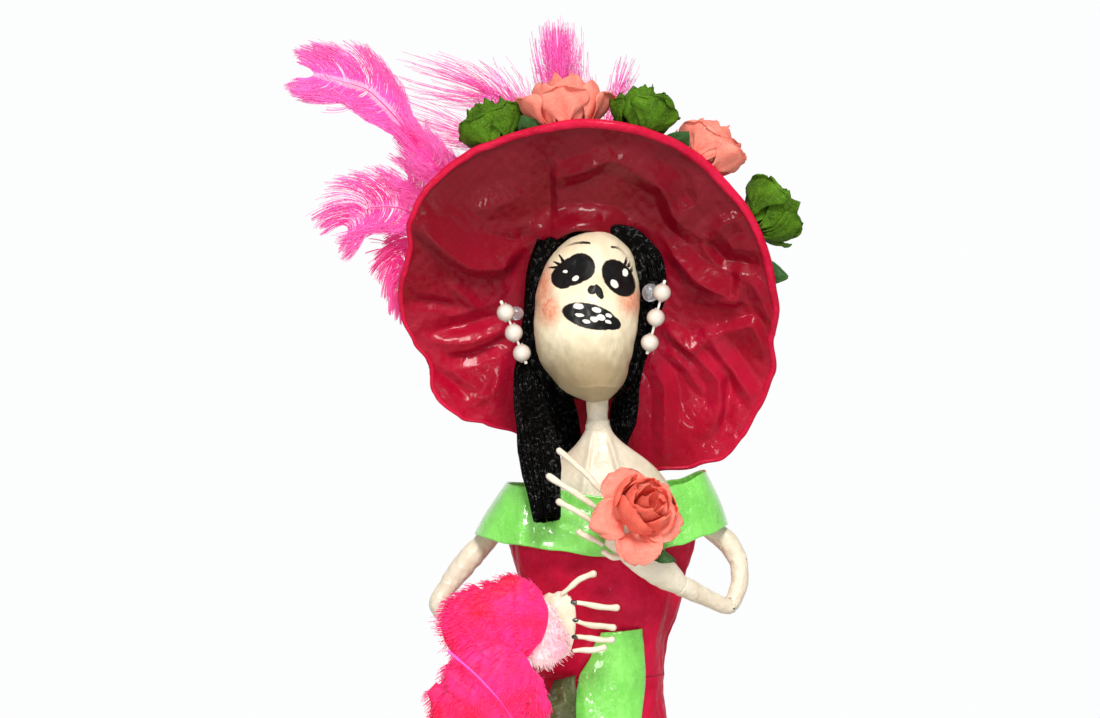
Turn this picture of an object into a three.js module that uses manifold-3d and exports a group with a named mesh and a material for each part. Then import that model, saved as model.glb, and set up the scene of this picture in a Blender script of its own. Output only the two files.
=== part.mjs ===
// A papier-mache catrina figure: a skull-faced lady in a long paper dress, with a wide hat worn far
// back on the head, paper roses, dyed feathers, pearl earrings and wire-cored arms.
// Millimetres, +Z up. She faces -Y and her right hand is on the -X side.
// The origin is the centre of the base board's underside.
import * as THREE from "three";
import { LoftGeometry } from "three/addons/geometries/LoftGeometry.js";
import { mergeVertices } from "three/addons/utils/BufferGeometryUtils.js";
import Module from "manifold-3d";

const wasm = await Module();
wasm.setup();

// ---------------------------------------------------------------- driving dimensions
const GAP = 0.4; // glue line between neighbouring pieces
const PAPER = 1.8; // wall of a papier-mache shell
const STRIP = 1.0; // thickness of a glued paper strip

const BASE = { radius: 58, thick: 3 };
const WAIST = { z: 205, width: 22.3, depth: 17 };
const BUST = { z: 253, width: 31.1, depth: 19.5, shift: 1.7 };
const HEM = { z: BASE.thick + GAP, width: 52, depth: 50, band: 19, bandOutset: 2.2 };
const SHIN = { z: 45, width: 33, depth: 32 };
const KNEE = { z: 92, width: 25.5, depth: 24.5 };
const HIP = { z: 162, width: 30, depth: 26 };

const BAND = { front: 246, frontTop: 266, width: 42, topWidth: 33.5, depth: 25, topDepth: 21.5, lift: 8 };
const NECK = { x: 0, y: 0, radius: 4, bottom: 286.5, top: 304 };
const WIRE = { radius: 1, bore: 1.5 };

const HEAD = { centre: [-3, -1, 324.5], half: 30, tiltBack: 28, lean: 6 };
const HAIR = { thick: 2.8, nape: 309 };
const HAT = { centre: [-3.3, 18.5, 331.3], tiltBack: 22.6, hole: 26, rim: 62.5, cup: 7, crown: 31 };
const BEAD = { radius: 3, thread: 0.5, slack: 0.5 };

// Lobes of the brim's outline: [direction in degrees, half spread in degrees, millimetres outwards].
const BRIM_LOBES = [
  [143, 15, 4],
  [203, 8, -3],
  [243, 15, -7.5],
  [312, 18, 10.5],
];

// ---------------------------------------------------------------- helpers
const { sin, cos, PI, abs, sqrt, min, max } = Math;
const rad = THREE.MathUtils.degToRad;
const vec = (x, y, z) => new THREE.Vector3(x, y, z);
const FRONT = vec(0, -1, 0);
const UP = vec(0, 0, 1);

const MATERIALS = Object.fromEntries(
  Object.entries({
    crimson_paper: [0xa81236, 0.3],
    green_paper: [0x5fcf4c, 0.25],
    bone_paint: [0xf1e8d2, 0.45],
    black_paint: [0x0c0b0c, 0.2],
    coral_paper: [0xe96f5e, 0.8],
    leaf_paper: [0x3f7a1e, 0.8],
    pink_feather: [0xff2f8e, 0.9],
    pearl: [0xf0e2dc, 0.2],
    steel_wire: [0x5b5b5e, 0.4],
    kraft_board: [0x8f6a45, 0.9],
  }).map(([name, [color, roughness]]) => [
    name,
    new THREE.MeshStandardMaterial({ color, roughness, metalness: name === "steel_wire" ? 0.9 : 0 }),
  ]),
);

const figure = new THREE.Group();

function add(name, geometry, material) {
  const mesh = new THREE.Mesh(geometry, MATERIALS[material]);
  mesh.name = name;
  figure.add(mesh);
  return mesh;
}

// Turns every face round if the closed surface faces inwards.
function outward(geometry) {
  const p = geometry.getAttribute("position");
  const index = geometry.index;
  const [a, b, c] = [vec(), vec(), vec()];
  let volume = 0;
  for (let i = 0; i < index.count; i += 3) {
    a.fromBufferAttribute(p, index.getX(i));
    b.fromBufferAttribute(p, index.getX(i + 1));
    c.fromBufferAttribute(p, index.getX(i + 2));
    volume += a.dot(b.cross(c));
  }
  if (volume < 0) {
    for (let i = 0; i < index.count; i += 3) {
      const kept = index.getX(i);
      index.setX(i, index.getX(i + 1));
      index.setX(i + 1, kept);
    }
  }
  return geometry;
}

// A closed solid skinned over rings of points, capped at both ends.
const capped = (rings) => outward(new LoftGeometry(rings, { capStart: true, capEnd: true }));

// A closed solid whose last ring joins its first, such as a shell with an inner and an outer side.
const looped = (rings) => outward(new LoftGeometry([...rings, rings[0]]));

// One point for each of `sides` directions around the Z axis, made by place(angle).
function around(sides, place) {
  return Array.from({ length: sides }, (_, i) => place((i / sides) * 2 * PI));
}

// A ring along two half axes.
function oval(centre, across, along, sides) {
  return around(sides, (a) =>
    centre.clone().addScaledVector(across, cos(a)).addScaledVector(along, sin(a)),
  );
}

// Rings along a curve. width(t) and thick(t) are half sizes; the thin way points along `facing`.
function ringsAlong(curve, width, thick, { facing = FRONT, sides = 8, steps = 8 } = {}) {
  return Array.from({ length: steps + 1 }, (_, i) => {
    const t = i / steps;
    const run = curve.getTangentAt(t);
    const thin = facing.clone().addScaledVector(run, -facing.dot(run)).normalize();
    const wide = thin.clone().cross(run);
    const middle = curve.getPointAt(t);
    return oval(middle, wide.multiplyScalar(width(t)), thin.multiplyScalar(thick(t)), sides);
  });
}

// A solid swept along a curve through the points, with round or flattened sections.
function swept(points, width, thick, options) {
  const curve = new THREE.CatmullRomCurve3(points.map((p) => vec(...p)));
  return capped(ringsAlong(curve, width, thick, options));
}

// The same with a round hole right through it for a wire.
function sleeve(points, width, thick, bore, options) {
  const curve = new THREE.CatmullRomCurve3(points.map((p) => vec(...p)));
  const hole = () => bore;
  const outside = ringsAlong(curve, width, thick, options);
  const inside = ringsAlong(curve, hole, hole, options).reverse();
  return looped([...outside, ...inside]);
}

// Smooth value through [position, value] stations: cubic pieces whose slopes agree where they meet.
function through(stations) {
  const last = stations.length - 1;
  const slope = (i) => {
    const [[x0, v0], [x1, v1]] = [stations[max(0, i - 1)], stations[min(last, i + 1)]];
    return (v1 - v0) / (x1 - x0);
  };
  return (x) => {
    if (x <= stations[0][0]) return stations[0][1];
    if (x >= stations[last][0]) return stations[last][1];
    const i = stations.findIndex(([at]) => at > x);
    const [[x0, v0], [x1, v1]] = [stations[i - 1], stations[i]];
    const span = x1 - x0;
    const t = (x - x0) / span;
    const rise = v0 + (v1 - v0) * t * t * (3 - 2 * t);
    const bend = slope(i - 1) * (1 - t) - slope(i) * t;
    return rise + bend * span * t * (1 - t);
  };
}

const steady = (size) => () => size;
const leafShape = (half) => (t) => half * max(0.06, sin(PI * min(0.97, t ** 0.8)));

// ---------------------------------------------------------------- booleans
function solid(geometry) {
  const bare = new THREE.BufferGeometry();
  bare.setAttribute("position", geometry.getAttribute("position"));
  bare.setIndex(geometry.index);
  const merged = mergeVertices(bare, 1e-3);
  return new wasm.Manifold(
    new wasm.Mesh({
      numProp: 3,
      vertProperties: merged.getAttribute("position").array,
      triVerts: new Uint32Array(merged.index.array),
    }),
  );
}

function geometryOf(manifold) {
  const mesh = manifold.getMesh();
  const geometry = new THREE.BufferGeometry();
  geometry.setAttribute("position", new THREE.BufferAttribute(mesh.vertProperties, 3));
  geometry.setIndex(new THREE.BufferAttribute(mesh.triVerts, 1));
  geometry.computeVertexNormals();
  return geometry;
}

// ---------------------------------------------------------------- base and dress
const skirtWidth = through([
  [HEM.z, HEM.width],
  [SHIN.z, SHIN.width],
  [KNEE.z, KNEE.width],
  [HIP.z, HIP.width],
  [WAIST.z, WAIST.width],
]);
const skirtDepth = through([
  [HEM.z, HEM.depth],
  [SHIN.z, SHIN.depth],
  [KNEE.z, KNEE.depth],
  [HIP.z, HIP.depth],
  [WAIST.z, WAIST.depth],
]);
const bodiceWidth = through([
  [WAIST.z, WAIST.width],
  [214, 22.6],
  [BUST.z, BUST.width],
]);
const bodiceDepth = through([
  [WAIST.z, WAIST.depth],
  [BUST.z, BUST.depth],
]);

const dressShift = through([
  [WAIST.z, 0],
  [BUST.z, BUST.shift],
]);

// A level oval ring of the dress at height z, `inset` inside its outer surface.
const dressRing = (z, width, depth, inset, sides) =>
  around(sides, (a) =>
    vec(dressShift(z) + (width(z) - inset) * cos(a), (depth(z) - inset) * sin(a), z),
  );

// A shell between two heights: its outside upwards, then its inside downwards.
function dressShell(levels, width, depth, wall, sides) {
  const outside = levels.map((z) => dressRing(z, width, depth, 0, sides));
  const inside = [...levels].reverse().map((z) => dressRing(z, width, depth, wall, sides));
  return looped([...outside, ...inside]);
}

function baseBoard() {
  const { radius, thick } = BASE;
  return new THREE.LatheGeometry(
    [[0, 0], [radius - 0.5, 0], [radius, 0.5], [radius, thick], [0, thick]].map(
      ([r, z]) => new THREE.Vector2(r, z),
    ),
    32,
  ).rotateX(PI / 2);
}

function hemBand() {
  const { z, band, bandOutset } = HEM;
  const width = (h) => skirtWidth(h) + bandOutset;
  const depth = (h) => skirtDepth(h) + bandOutset;
  return dressShell([z, z + band / 2, z + band], width, depth, STRIP, 28);
}

// A strip of paper that follows the front of the dress, `stand` outside its surface.
function frontPanel() {
  const [foot, head] = [26, 221.5];
  const middle = through([[foot, 4], [150, 3.5], [207, 4.3], [head, 7.5]]);
  const half = through([[foot, 16], [110, 11.5], [207, 11], [head, 6.8]]);
  const stand = through([[foot, 2.2], [190, 3.4], [head, 1.6]]);
  const rows = 13;
  const columns = 5;
  const surface = (z, x, out) => {
    const [width, depth] =
      z > WAIST.z ? [bodiceWidth(z), bodiceDepth(z)] : [skirtWidth(z), skirtDepth(z)];
    const bulge = stand(z) + 1.6 * (1 - ((x - middle(z)) / half(z)) ** 2);
    return vec(x, -(depth * sqrt(1 - (x / width) ** 2) + bulge + out), z);
  };
  const rings = Array.from({ length: rows }, (_, i) => {
    const z = foot + ((head - foot) * i) / (rows - 1);
    const across = Array.from(
      { length: columns },
      (_, k) => middle(z) + half(z) * ((2 * k) / (columns - 1) - 1),
    );
    const outer = across.map((x) => surface(z, x, STRIP));
    const inner = across.map((x) => surface(z, x, 0)).reverse();
    return [...outer, ...inner];
  });
  return capped(rings);
}

function hipFold() {
  const points = [
    [-11.8, -20.6, 206],
    [-13.5, -26.5, 196],
    [-13, -31, 180],
    [-11.5, -32, 164],
  ];
  const width = through([[0, 4.2], [0.5, 5.2], [1, 1]]);
  return swept(points, width, steady(0.8), { sides: 8, steps: 7 });
}

add("base_board", baseBoard(), "kraft_board");
add(
  "skirt_shell",
  dressShell(
    [HEM.z, 12.9, 22.4, 34, 48, 68, 92, 120, 145, 165, 188, WAIST.z - GAP],
    skirtWidth, skirtDepth, PAPER, 28,
  ),
  "crimson_paper",
);
add("hem_band", hemBand(), "green_paper");
add(
  "bodice_shell",
  dressShell([WAIST.z, 214, 224, 234, 244, BUST.z], bodiceWidth, bodiceDepth, PAPER, 24),
  "crimson_paper",
);
add("front_panel", frontPanel(), "green_paper");
add("hip_fold", hipFold(), "green_paper");

// ---------------------------------------------------------------- shoulder band
// Off-the-shoulder strip: low at the front and back, lifted over the arms, wider at its lower edge.
function shoulderBand() {
  const edge = (top, inset) =>
    around(30, (a) => {
      const width = (top ? BAND.topWidth : BAND.width) - inset;
      const depth = (top ? BAND.topDepth : BAND.depth) - inset;
      const side = cos(a) ** 2;
      const lean = top ? 2.5 : 1;
      const lift = (BAND.lift + (top ? -2 + 2 * cos(a) : cos(a))) * side;
      const z = (top ? BAND.frontTop : BAND.front) + lift;
      return vec(lean + width * cos(a), depth * sin(a), z);
    });
  const halfway = (inset) => {
    const [low, high] = [edge(false, inset), edge(true, inset)];
    return low.map((p, i) => p.clone().lerp(high[i], 0.5));
  };
  return looped([
    edge(false, 0), halfway(0), edge(true, 0),
    edge(true, STRIP), halfway(STRIP), edge(false, STRIP),
  ]);
}
add("shoulder_band", shoulderBand(), "green_paper");

// ---------------------------------------------------------------- chest, neck and spine wire
function chestForm() {
  const width = through([[250, 29], [258, 27], [264, 25.5], [270, 21.5], [276, 14.5], [281, 8.5], [286, 4.6]]);
  const depth = through([[250, 13], [262, 13], [272, 9], [280, 6], [286, 4.4]]);
  const levels = [256, 262, 267, 272, 277, 282, 286];
  const ring = (z) => around(20, (a) => vec(width(z) * cos(a), depth(z) * sin(a), z));
  const bore = (z) => around(20, (a) => vec(WIRE.bore * cos(a), WIRE.bore * sin(a), z));
  return looped([...levels.map(ring), bore(levels.at(-1)), bore(levels[0])]);
}
add("chest_form", chestForm(), "bone_paint");

const neckLine = [
  [NECK.x, NECK.y, NECK.bottom],
  [NECK.x, NECK.y, NECK.top],
];
add(
  "neck_tube",
  sleeve(neckLine, steady(NECK.radius), steady(NECK.radius), WIRE.bore, { sides: 14, steps: 1 }),
  "bone_paint",
);
const spineLine = [
  [0, 0, BASE.thick + GAP],
  [0, 0, NECK.top + 4],
];
add(
  "spine_wire",
  swept(spineLine, steady(WIRE.radius), steady(WIRE.radius), { sides: 8, steps: 1 }),
  "steel_wire",
);

// ---------------------------------------------------------------- head and hair
// The head is made upright about its own centre, then leant back and to its left.
const headTurn = new THREE.Matrix4()
  .makeTranslation(...HEAD.centre)
  .multiply(new THREE.Matrix4().makeRotationY(rad(HEAD.lean)))
  .multiply(new THREE.Matrix4().makeRotationX(rad(-HEAD.tiltBack)));

const skullWidth = through([[-30, 3], [-28, 7.5], [-24, 10.8], [-15, 14.8], [8, 17.6], [18, 15.3], [25, 10.5], [30, 3]]);
const skullDepth = through([[-30, 3], [-27, 7], [-20, 11], [-8, 15], [8, 18.5], [19, 16], [26, 10], [30, 3]]);

// The skull's outer surface, grown by `grow` on every side.
function skull(grow, sides) {
  const levels = [-30, -28, -24, -18, -11, -4, 4, 11, 18, 23, 27, 30];
  return capped(
    levels.map((h) => {
      const stretch = 1 + grow / HEAD.half;
      return around(sides, (a) =>
        vec((skullWidth(h) + grow) * cos(a), (skullDepth(h) + grow) * sin(a), h * stretch),
      );
    }),
  );
}

const headUpright = solid(skull(0, 22));
const socket = solid(new THREE.CylinderGeometry(NECK.radius + GAP, NECK.radius + GAP, 12, 14)
  .rotateX(PI / 2)
  .translate(NECK.x, NECK.y, NECK.top - 5.6));
const wireSeat = solid(new THREE.CylinderGeometry(WIRE.bore, WIRE.bore, 12, 8)
  .rotateX(PI / 2)
  .translate(NECK.x, NECK.y, NECK.top));
const headSolid = headUpright.transform(headTurn.elements).subtract(socket).subtract(wireSeat);
add("head", geometryOf(headSolid), "bone_paint");


const tresses = {
  hair_tress_front: {
    points: [
      [-23.4, -1, 307.4],
      [-22.4, -9, 297],
      [-20.4, -18, 282],
      [-18.2, -26, 268],
      [-17.3, -28.8, 257.4],
    ],
    width: through([[0, 4], [0.3, 5.6], [0.62, 6.8], [0.82, 4.4], [1, 4.1]]),
    thick: steady(2.6),
  },
  hair_tress_back_right: {
    points: [
      [-17, 8.5, 306.4],
      [-12.6, 9.5, 298],
      [-9.6, 10.4, 287],
      [-8, 10.4, 277],
    ],
    width: through([[0, 4.2], [0.5, 4.6], [1, 2]]),
    thick: steady(3),
  },
  hair_tress_back_left: {
    points: [
      [14.4, 8.5, 306.4],
      [12.6, 9.5, 298],
      [10, 10.4, 289],
      [8, 10.4, 280],
    ],
    width: through([[0, 6], [0.5, 5], [1, 2]]),
    thick: steady(3),
  },
};
for (const [name, { points, width, thick }] of Object.entries(tresses)) {
  add(name, swept(points, width, thick, { sides: 8, steps: 8 }), "black_paint");
}

// ---------------------------------------------------------------- hat
// Brim frame: X to her left, `upward` in the brim's plane, `under` out of its underside to the front.
const hatCentre = vec(...HAT.centre);
const under = vec(0, -cos(rad(HAT.tiltBack)), -sin(rad(HAT.tiltBack)));
const upward = vec(0, -sin(rad(HAT.tiltBack)), cos(rad(HAT.tiltBack)));

function rimRadius(a) {
  const degrees = THREE.MathUtils.radToDeg(a);
  return BRIM_LOBES.reduce((r, [at, spread, size]) => {
    const away = ((degrees - at + 540) % 360) - 180;
    return r + size * Math.exp(-((away / spread) ** 2));
  }, HAT.rim);
}

// How far the brim bows to the front at share s of the way from its hole to its rim.
const brimBow = (s, a) => HAT.cup * s ** 1.5 + 2.2 * s * sin(5 * a + 0.6);

// A point of the hat at radius r, direction a and height h out of the brim's plane.
const hatPoint = (r, a, h) =>
  hatCentre
    .clone()
    .add(vec(r * cos(a), 0, 0))
    .addScaledVector(upward, r * sin(a))
    .addScaledVector(under, h);

// Hair wraps the skull behind a slanting face line, down to the ears, and goes up into the hat's hole.
function hairCap() {
  const inside = solid(skull(GAP, 20)).transform(headTurn.elements);
  const outside = solid(skull(HAIR.thick + GAP, 20)).transform(headTurn.elements);
  const face = solid(new THREE.BoxGeometry(80, 60, 90)
    .rotateX(rad(-18))
    .translate(HEAD.centre[0], HEAD.centre[1] - 30, HEAD.centre[2] - 6));
  const nape = solid(new THREE.BoxGeometry(80, 80, 40).translate(0, 0, HAIR.nape - 20));
  const [near, far] = [HAT.hole - GAP, 50];
  const corners = [[near, 0.7], [far, 0.7], [far, -50], [near, -50]];
  const hatRoom = solid(looped(corners.map(([r, h]) => around(24, (a) => hatPoint(r, a, h)))));
  return geometryOf(outside.subtract(inside).subtract(face).subtract(nape).subtract(hatRoom));
}
add("hair_cap", hairCap(), "black_paint");

const BRIM_SIDES = 40;
const brimAt = (s, a) => [HAT.hole + (rimRadius(a) - HAT.hole) * s, brimBow(s, a)];
const brimRing = (s, offset) =>
  around(BRIM_SIDES, (a) => {
    const [r, h] = brimAt(s, a);
    return hatPoint(r, a, h + offset);
  });

function hatBrim() {
  const shares = [0, 0.3, 0.65, 0.955];
  const front = shares.map((s) => brimRing(s, 0));
  const back = [...shares].reverse().map((s) => brimRing(s, -PAPER));
  return looped([...front, ...back]);
}
add("hat_brim", hatBrim(), "crimson_paper");

// Paper rolled over a wire along the rim.
function rimRoll() {
  const half = 1.25;
  const corners = [[-1, 0], [0, 1], [1, 0], [0, -1]];
  const rings = corners.map(([out, fore]) =>
    around(BRIM_SIDES, (a) => {
      const [r, h] = brimAt(1, a);
      return hatPoint(r + out * half, a, h - PAPER / 2 + fore * half);
    }),
  );
  return looped(rings);
}
add("hat_rim_roll", rimRoll(), "crimson_paper");

function hatCrown() {
  const back = -PAPER - GAP;
  const outside = [[29.5, back], [29.2, -12], [27.6, -22], [22, -29], [11, -HAT.crown - 1.5], [0.6, -HAT.crown - 2]];
  const inside = [[0.6, -HAT.crown - 0.2], [10, -HAT.crown], [20.4, -27.4], [25.8, -21], [27.4, -12], [27.7, back]];
  return outward(
    new LoftGeometry(
      [...outside, ...inside, outside[0]].map(([r, h]) => around(24, (a) => hatPoint(r, a, h))),
    ),
  );
}
add("hat_crown", hatCrown(), "crimson_paper");

// ---------------------------------------------------------------- paper roses
// A closed bud with a flared skirt of petals, standing on its stem end at `base` along `axis`.
function rose(base, axis, radius, height) {
  const profile = [
    [0, 0], [0.28, 0.02], [0.74, 0.2], [1, 0.36], [0.76, 0.46], [0.7, 0.78], [0.4, 1], [0, 0.94],
  ].map(([r, z]) => new THREE.Vector2(r * radius, z * height));
  return new THREE.LatheGeometry(profile, 12)
    .rotateX(PI / 2)
    .applyQuaternion(new THREE.Quaternion().setFromUnitVectors(UP, axis.clone().normalize()))
    .translate(base.x, base.y, base.z);
}

// Roses sit on the back of the brim, leaning out past the rim: [name, direction, radius, height, slot].
const hatRoses = [
  ["hat_rose_green_1", 117.5, 11, 17, "leaf_paper"],
  ["hat_rose_coral_1", 96.5, 12.2, 19, "coral_paper"],
  ["hat_rose_green_2", 74, 11.2, 17, "leaf_paper"],
  ["hat_rose_coral_2", 51.5, 11, 17, "coral_paper"],
  ["hat_rose_green_3", 25, 11, 17, "leaf_paper"],
];
const ROSE_SEAT = { share: 0.84, behind: 3.4, outward: 0.74 };
const radial = (a) => vec(cos(a), 0, 0).addScaledVector(upward, sin(a));

for (const [name, degrees, radius, height, slot] of hatRoses) {
  const a = rad(degrees);
  const [r, h] = brimAt(ROSE_SEAT.share, a);
  const base = hatPoint(r, a, h - PAPER - ROSE_SEAT.behind);
  const lean = sqrt(1 - ROSE_SEAT.outward ** 2);
  const axis = radial(a).multiplyScalar(ROSE_SEAT.outward).addScaledVector(under, -lean);
  add(name, rose(base, axis, radius, height), slot);
}

// A paper leaf lies between the brim and a green rose, its tip past the rim.
const hatLeaves = [
  ["hat_leaf_1", 106.5, 2],
  ["hat_leaf_2", 63.5, -2],
  ["hat_leaf_3", 12, -3],
];
for (const [name, degrees, skew] of hatLeaves) {
  const a = rad(degrees);
  const at = (s, turn) => {
    const [r, h] = brimAt(s, a + rad(turn));
    return hatPoint(r, a + rad(turn), h - PAPER - 1.6);
  };
  const points = [at(0.8, 0), at(0.97, skew), at(1.14, 2 * skew)].map((p) => p.toArray());
  add(name, swept(points, leafShape(3.2), steady(0.45), { facing: under, sides: 6, steps: 5 }), "leaf_paper");
}

// ---------------------------------------------------------------- hat feathers
// Each springs from the back of the brim: the points run from quill to tip; half is the vane's half width.
const hatFeathers = {
  hat_feather_long: {
    points: [[-42, 13, 366], [-54, 9, 375], [-66, 6, 387], [-78, 4, 400], [-97, 3, 405]],
    half: through([[0, 2], [0.35, 3.4], [0.62, 7.5], [0.86, 8.6], [1, 3]]),
  },
  hat_feather_fan: {
    points: [[-46, 19, 353], [-57, 16, 360], [-68, 14, 362], [-86, 13, 355]],
    half: through([[0, 2], [0.4, 8], [0.75, 8.4], [1, 2.5]]),
  },
  hat_feather_drop: {
    points: [[-47, 25, 343], [-60, 22, 352], [-66.5, 20, 346], [-65.5, 19, 331]],
    half: through([[0, 1.6], [0.5, 3.2], [0.8, 4.2], [1, 1]]),
  },
  hat_feather_side: {
    points: [[-26, 21, 372], [-28, 15.8, 388], [-37, 12, 398], [-50, 10, 402]],
    half: through([[0, 1.6], [0.4, 3.4], [0.7, 4], [1, 1.2]]),
  },
  hat_feather_top: {
    points: [[-15, 20, 374], [-14, 15, 390], [-16, 12, 404], [-17, 11, 423]],
    half: through([[0, 1.6], [0.4, 5.2], [0.7, 5], [1, 1.6]]),
  },
  hat_feather_back: {
    points: [[0, 20, 374], [3, 15, 389], [5.5, 13, 400], [8, 12, 409]],
    half: through([[0, 1.6], [0.5, 3.4], [1, 1.6]]),
  },
};
for (const [name, { points, half }] of Object.entries(hatFeathers)) {
  add(name, swept(points, half, steady(0.6), { sides: 6, steps: 7 }), "pink_feather");
}

// ---------------------------------------------------------------- arms and hands
// Each arm is paper wrapped over a wire: its points run from under the band to the wrist.
const arms = {
  right: {
    points: [[-31.6, 0, 258.5], [-35.8, -1.5, 251.5], [-42.4, -4, 244.4], [-48.8, -6.8, 236.4], [-53.2, -10, 228.6],
      [-50.5, -14.5, 224.5], [-38, -21, 223.5], [-26, -26.5, 223]],
    half: through([[0, 3.2], [0.12, 3.4], [0.3, 3.9], [0.5, 2.9], [0.62, 2.7], [1, 3.2]]),
  },
  left: {
    points: [[32, 0, 260], [36.4, -1.4, 254.6], [42.6, -2.8, 249.6], [46.4, -4.4, 243], [46.4, -6.8, 235.4], [44, -9.5, 228.6],
      [35.5, -14.5, 231.2], [27.5, -20, 235]],
    half: through([[0, 3], [0.12, 3.2], [0.25, 3.6], [0.45, 2.9], [0.68, 2.7], [1, 3.4]]),
  },
};
for (const [side, { points, half }] of Object.entries(arms)) {
  const shape = { sides: 8, steps: 14 };
  add(`arm_${side}`, sleeve(points, half, half, WIRE.bore, shape), "bone_paint");
  add(
    `arm_wire_${side}`,
    swept(points, steady(WIRE.radius), steady(WIRE.radius), { sides: 6, steps: 14 }),
    "steel_wire",
  );
}

// A palm is a flat paddle past the wrist; wire fingers dipped in paint stand out of its far edge.
const palms = {
  right: {
    points: [[-25.2, -26.9, 222.9], [-19, -29.2, 222.2], [-12, -30.6, 221.3], [-8.4, -31, 220.8]],
    width: through([[0, 3.4], [0.45, 8], [0.8, 10.6], [1, 9.6]]),
    thick: through([[0, 3], [0.5, 2], [1, 1.5]]),
  },
  left: {
    points: [[26.6, -20.7, 235.4], [20.5, -25.6, 240], [13.5, -29.6, 246.5], [6.5, -31.6, 253.5]],
    width: through([[0, 3.6], [0.4, 7.4], [0.8, 8], [1, 7.2]]),
    thick: through([[0, 3.2], [0.5, 2.4], [1, 1.5]]),
  },
};
for (const [side, { points, width, thick }] of Object.entries(palms)) {
  add(`palm_${side}`, swept(points, width, thick, { sides: 10, steps: 6 }), "bone_paint");
}

// Fingers from root to tip; each swells a little towards its tip, where the paint has gathered.
const fingers = {
  finger_right_1: [[-12.2, -31.6, 232.4], [-7, -32.2, 236], [-0.4, -32.8, 239]],
  finger_right_2: [[-7.2, -31.6, 229], [-1, -32.4, 228], [7, -33.2, 227.4]],
  finger_right_3: [[-6.8, -31.6, 223], [-1, -32.2, 221.4], [6, -33, 220.6]],
  finger_right_4: [[-6.9, -31.6, 217.4], [-1, -32.2, 217], [5.6, -33, 216.6]],
  finger_right_5: [[-7.6, -31.6, 212.6], [-2.4, -32, 213.4], [2.8, -32.4, 214.2]],
  finger_left_1: [[4.6, -33, 262.4], [-5.4, -35.2, 273.4], [-13.6, -36.6, 280]],
  finger_left_2: [[2.4, -33, 258], [-8.6, -35.2, 266.4], [-17, -36, 271.4]],
  finger_left_3: [[1, -33.2, 253.2], [-6, -34.8, 258.6], [-13.8, -35.8, 263.4]],
  finger_left_4: [[1.4, -33, 248.2], [-3, -33.8, 250.8], [-7, -34.4, 253]],
  thumb_left: [[8.4, -33.4, 243.6], [4.8, -34.6, 244.6], [1.4, -35.2, 246.2]],
};
const fingerHalf = through([[0, 0.6], [0.45, 0.75], [0.85, 1.05], [1, 0.7]]);
for (const [name, points] of Object.entries(fingers)) {
  add(name, swept(points, fingerHalf, fingerHalf, { sides: 6, steps: 5 }), "bone_paint");
}

// ---------------------------------------------------------------- what the hands hold
const heldRose = { base: vec(13.6, -34.4, 254.2), axis: vec(0.2, -0.95, 0.22), radius: 16, height: 17 };
add("held_rose", rose(heldRose.base, heldRose.axis, heldRose.radius, heldRose.height), "coral_paper");
add(
  "held_rose_leaf",
  swept([[16.4, -35.6, 247.8], [21, -37.4, 244.6], [26, -38.4, 243]], leafShape(2.2), steady(0.4), {
    sides: 6,
    steps: 4,
  }),
  "leaf_paper",
);

// Three broad fluffy feathers, one in front of the next, glued to the right palm by their quills.
const fanFeathers = {
  fan_feather_upper: {
    points: [[-10, -36.4, 221], [-24, -38, 222.5], [-40, -38.6, 223], [-56, -38, 217]],
    half: through([[0, 7.5], [0.3, 10.5], [0.7, 12.5], [1, 5]]),
  },
  fan_feather_middle: {
    points: [[-20, -43, 214], [-30, -44, 202], [-41, -44.2, 190], [-54, -43.4, 176]],
    half: through([[0, 7], [0.3, 11.5], [0.7, 12], [1, 4]]),
  },
  fan_feather_lower: {
    points: [[-19, -37.2, 206], [-23, -38.4, 192], [-29, -38.8, 176], [-36, -38, 158]],
    half: through([[0, 7], [0.3, 12], [0.7, 12.5], [1, 4]]),
  },
};
for (const [name, { points, half }] of Object.entries(fanFeathers)) {
  add(name, swept(points, half, steady(1.9), { sides: 8, steps: 7 }), "pink_feather");
}

// ---------------------------------------------------------------- earrings
// Pearls moulded on a thread. The stud bead is glued to the hair; the other two hang from it in turn.
// A bead has a short neck of thread on top, which meets the bead above with a small gap.
function pearl(centre, lineUp, neck) {
  const { radius, thread } = BEAD;
  const top = radius + neck;
  const arc = Array.from({ length: 8 }, (_, i) => {
    const t = -PI / 2 + (i / 7) * (PI / 2 + Math.acos(thread / radius));
    return [i === 0 ? 0 : radius * cos(t), radius * sin(t)];
  });
  const profile = [...arc, [thread, top], [0, top]].map(([r, z]) => new THREE.Vector2(r, z));
  return new THREE.LatheGeometry(profile, 12)
    .rotateX(PI / 2)
    .applyQuaternion(new THREE.Quaternion().setFromUnitVectors(UP, lineUp))
    .translate(centre.x, centre.y, centre.z);
}

const earrings = {
  right: { stud: vec(-30.7, -6.5, 325.7), drop: vec(-25.3, -6.5, 312.3) },
  left: { stud: vec(21, -6.5, 332.3), drop: vec(17, -6.5, 315.7) },
};
for (const [side, { stud, drop }] of Object.entries(earrings)) {
  const middle = stud.clone().lerp(drop, 0.5);
  const lineUp = stud.clone().sub(drop).normalize();
  const neck = stud.distanceTo(middle) - 2 * BEAD.radius - BEAD.slack;
  add(`earring_${side}_stud_bead`, pearl(stud, lineUp, 1), "pearl");
  add(`earring_${side}_middle_bead`, pearl(middle, lineUp, neck), "pearl");
  add(`earring_${side}_drop_bead`, pearl(drop, lineUp, neck), "pearl");
}

export default figure;
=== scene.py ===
# %% [markdown]
# # A papier-mache catrina
#
# The figure is a skeleton lady made of paper, paste and wire. Her dress and hat are lacquered paper, her
# face is painted, and real things are glued on: dyed feathers, paper roses and moulded pearl beads.
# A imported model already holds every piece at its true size, in metres, with +Z up and her face to -Y.
# This lesson wraps a finely shaped and finished surface round each of those pieces.

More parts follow.
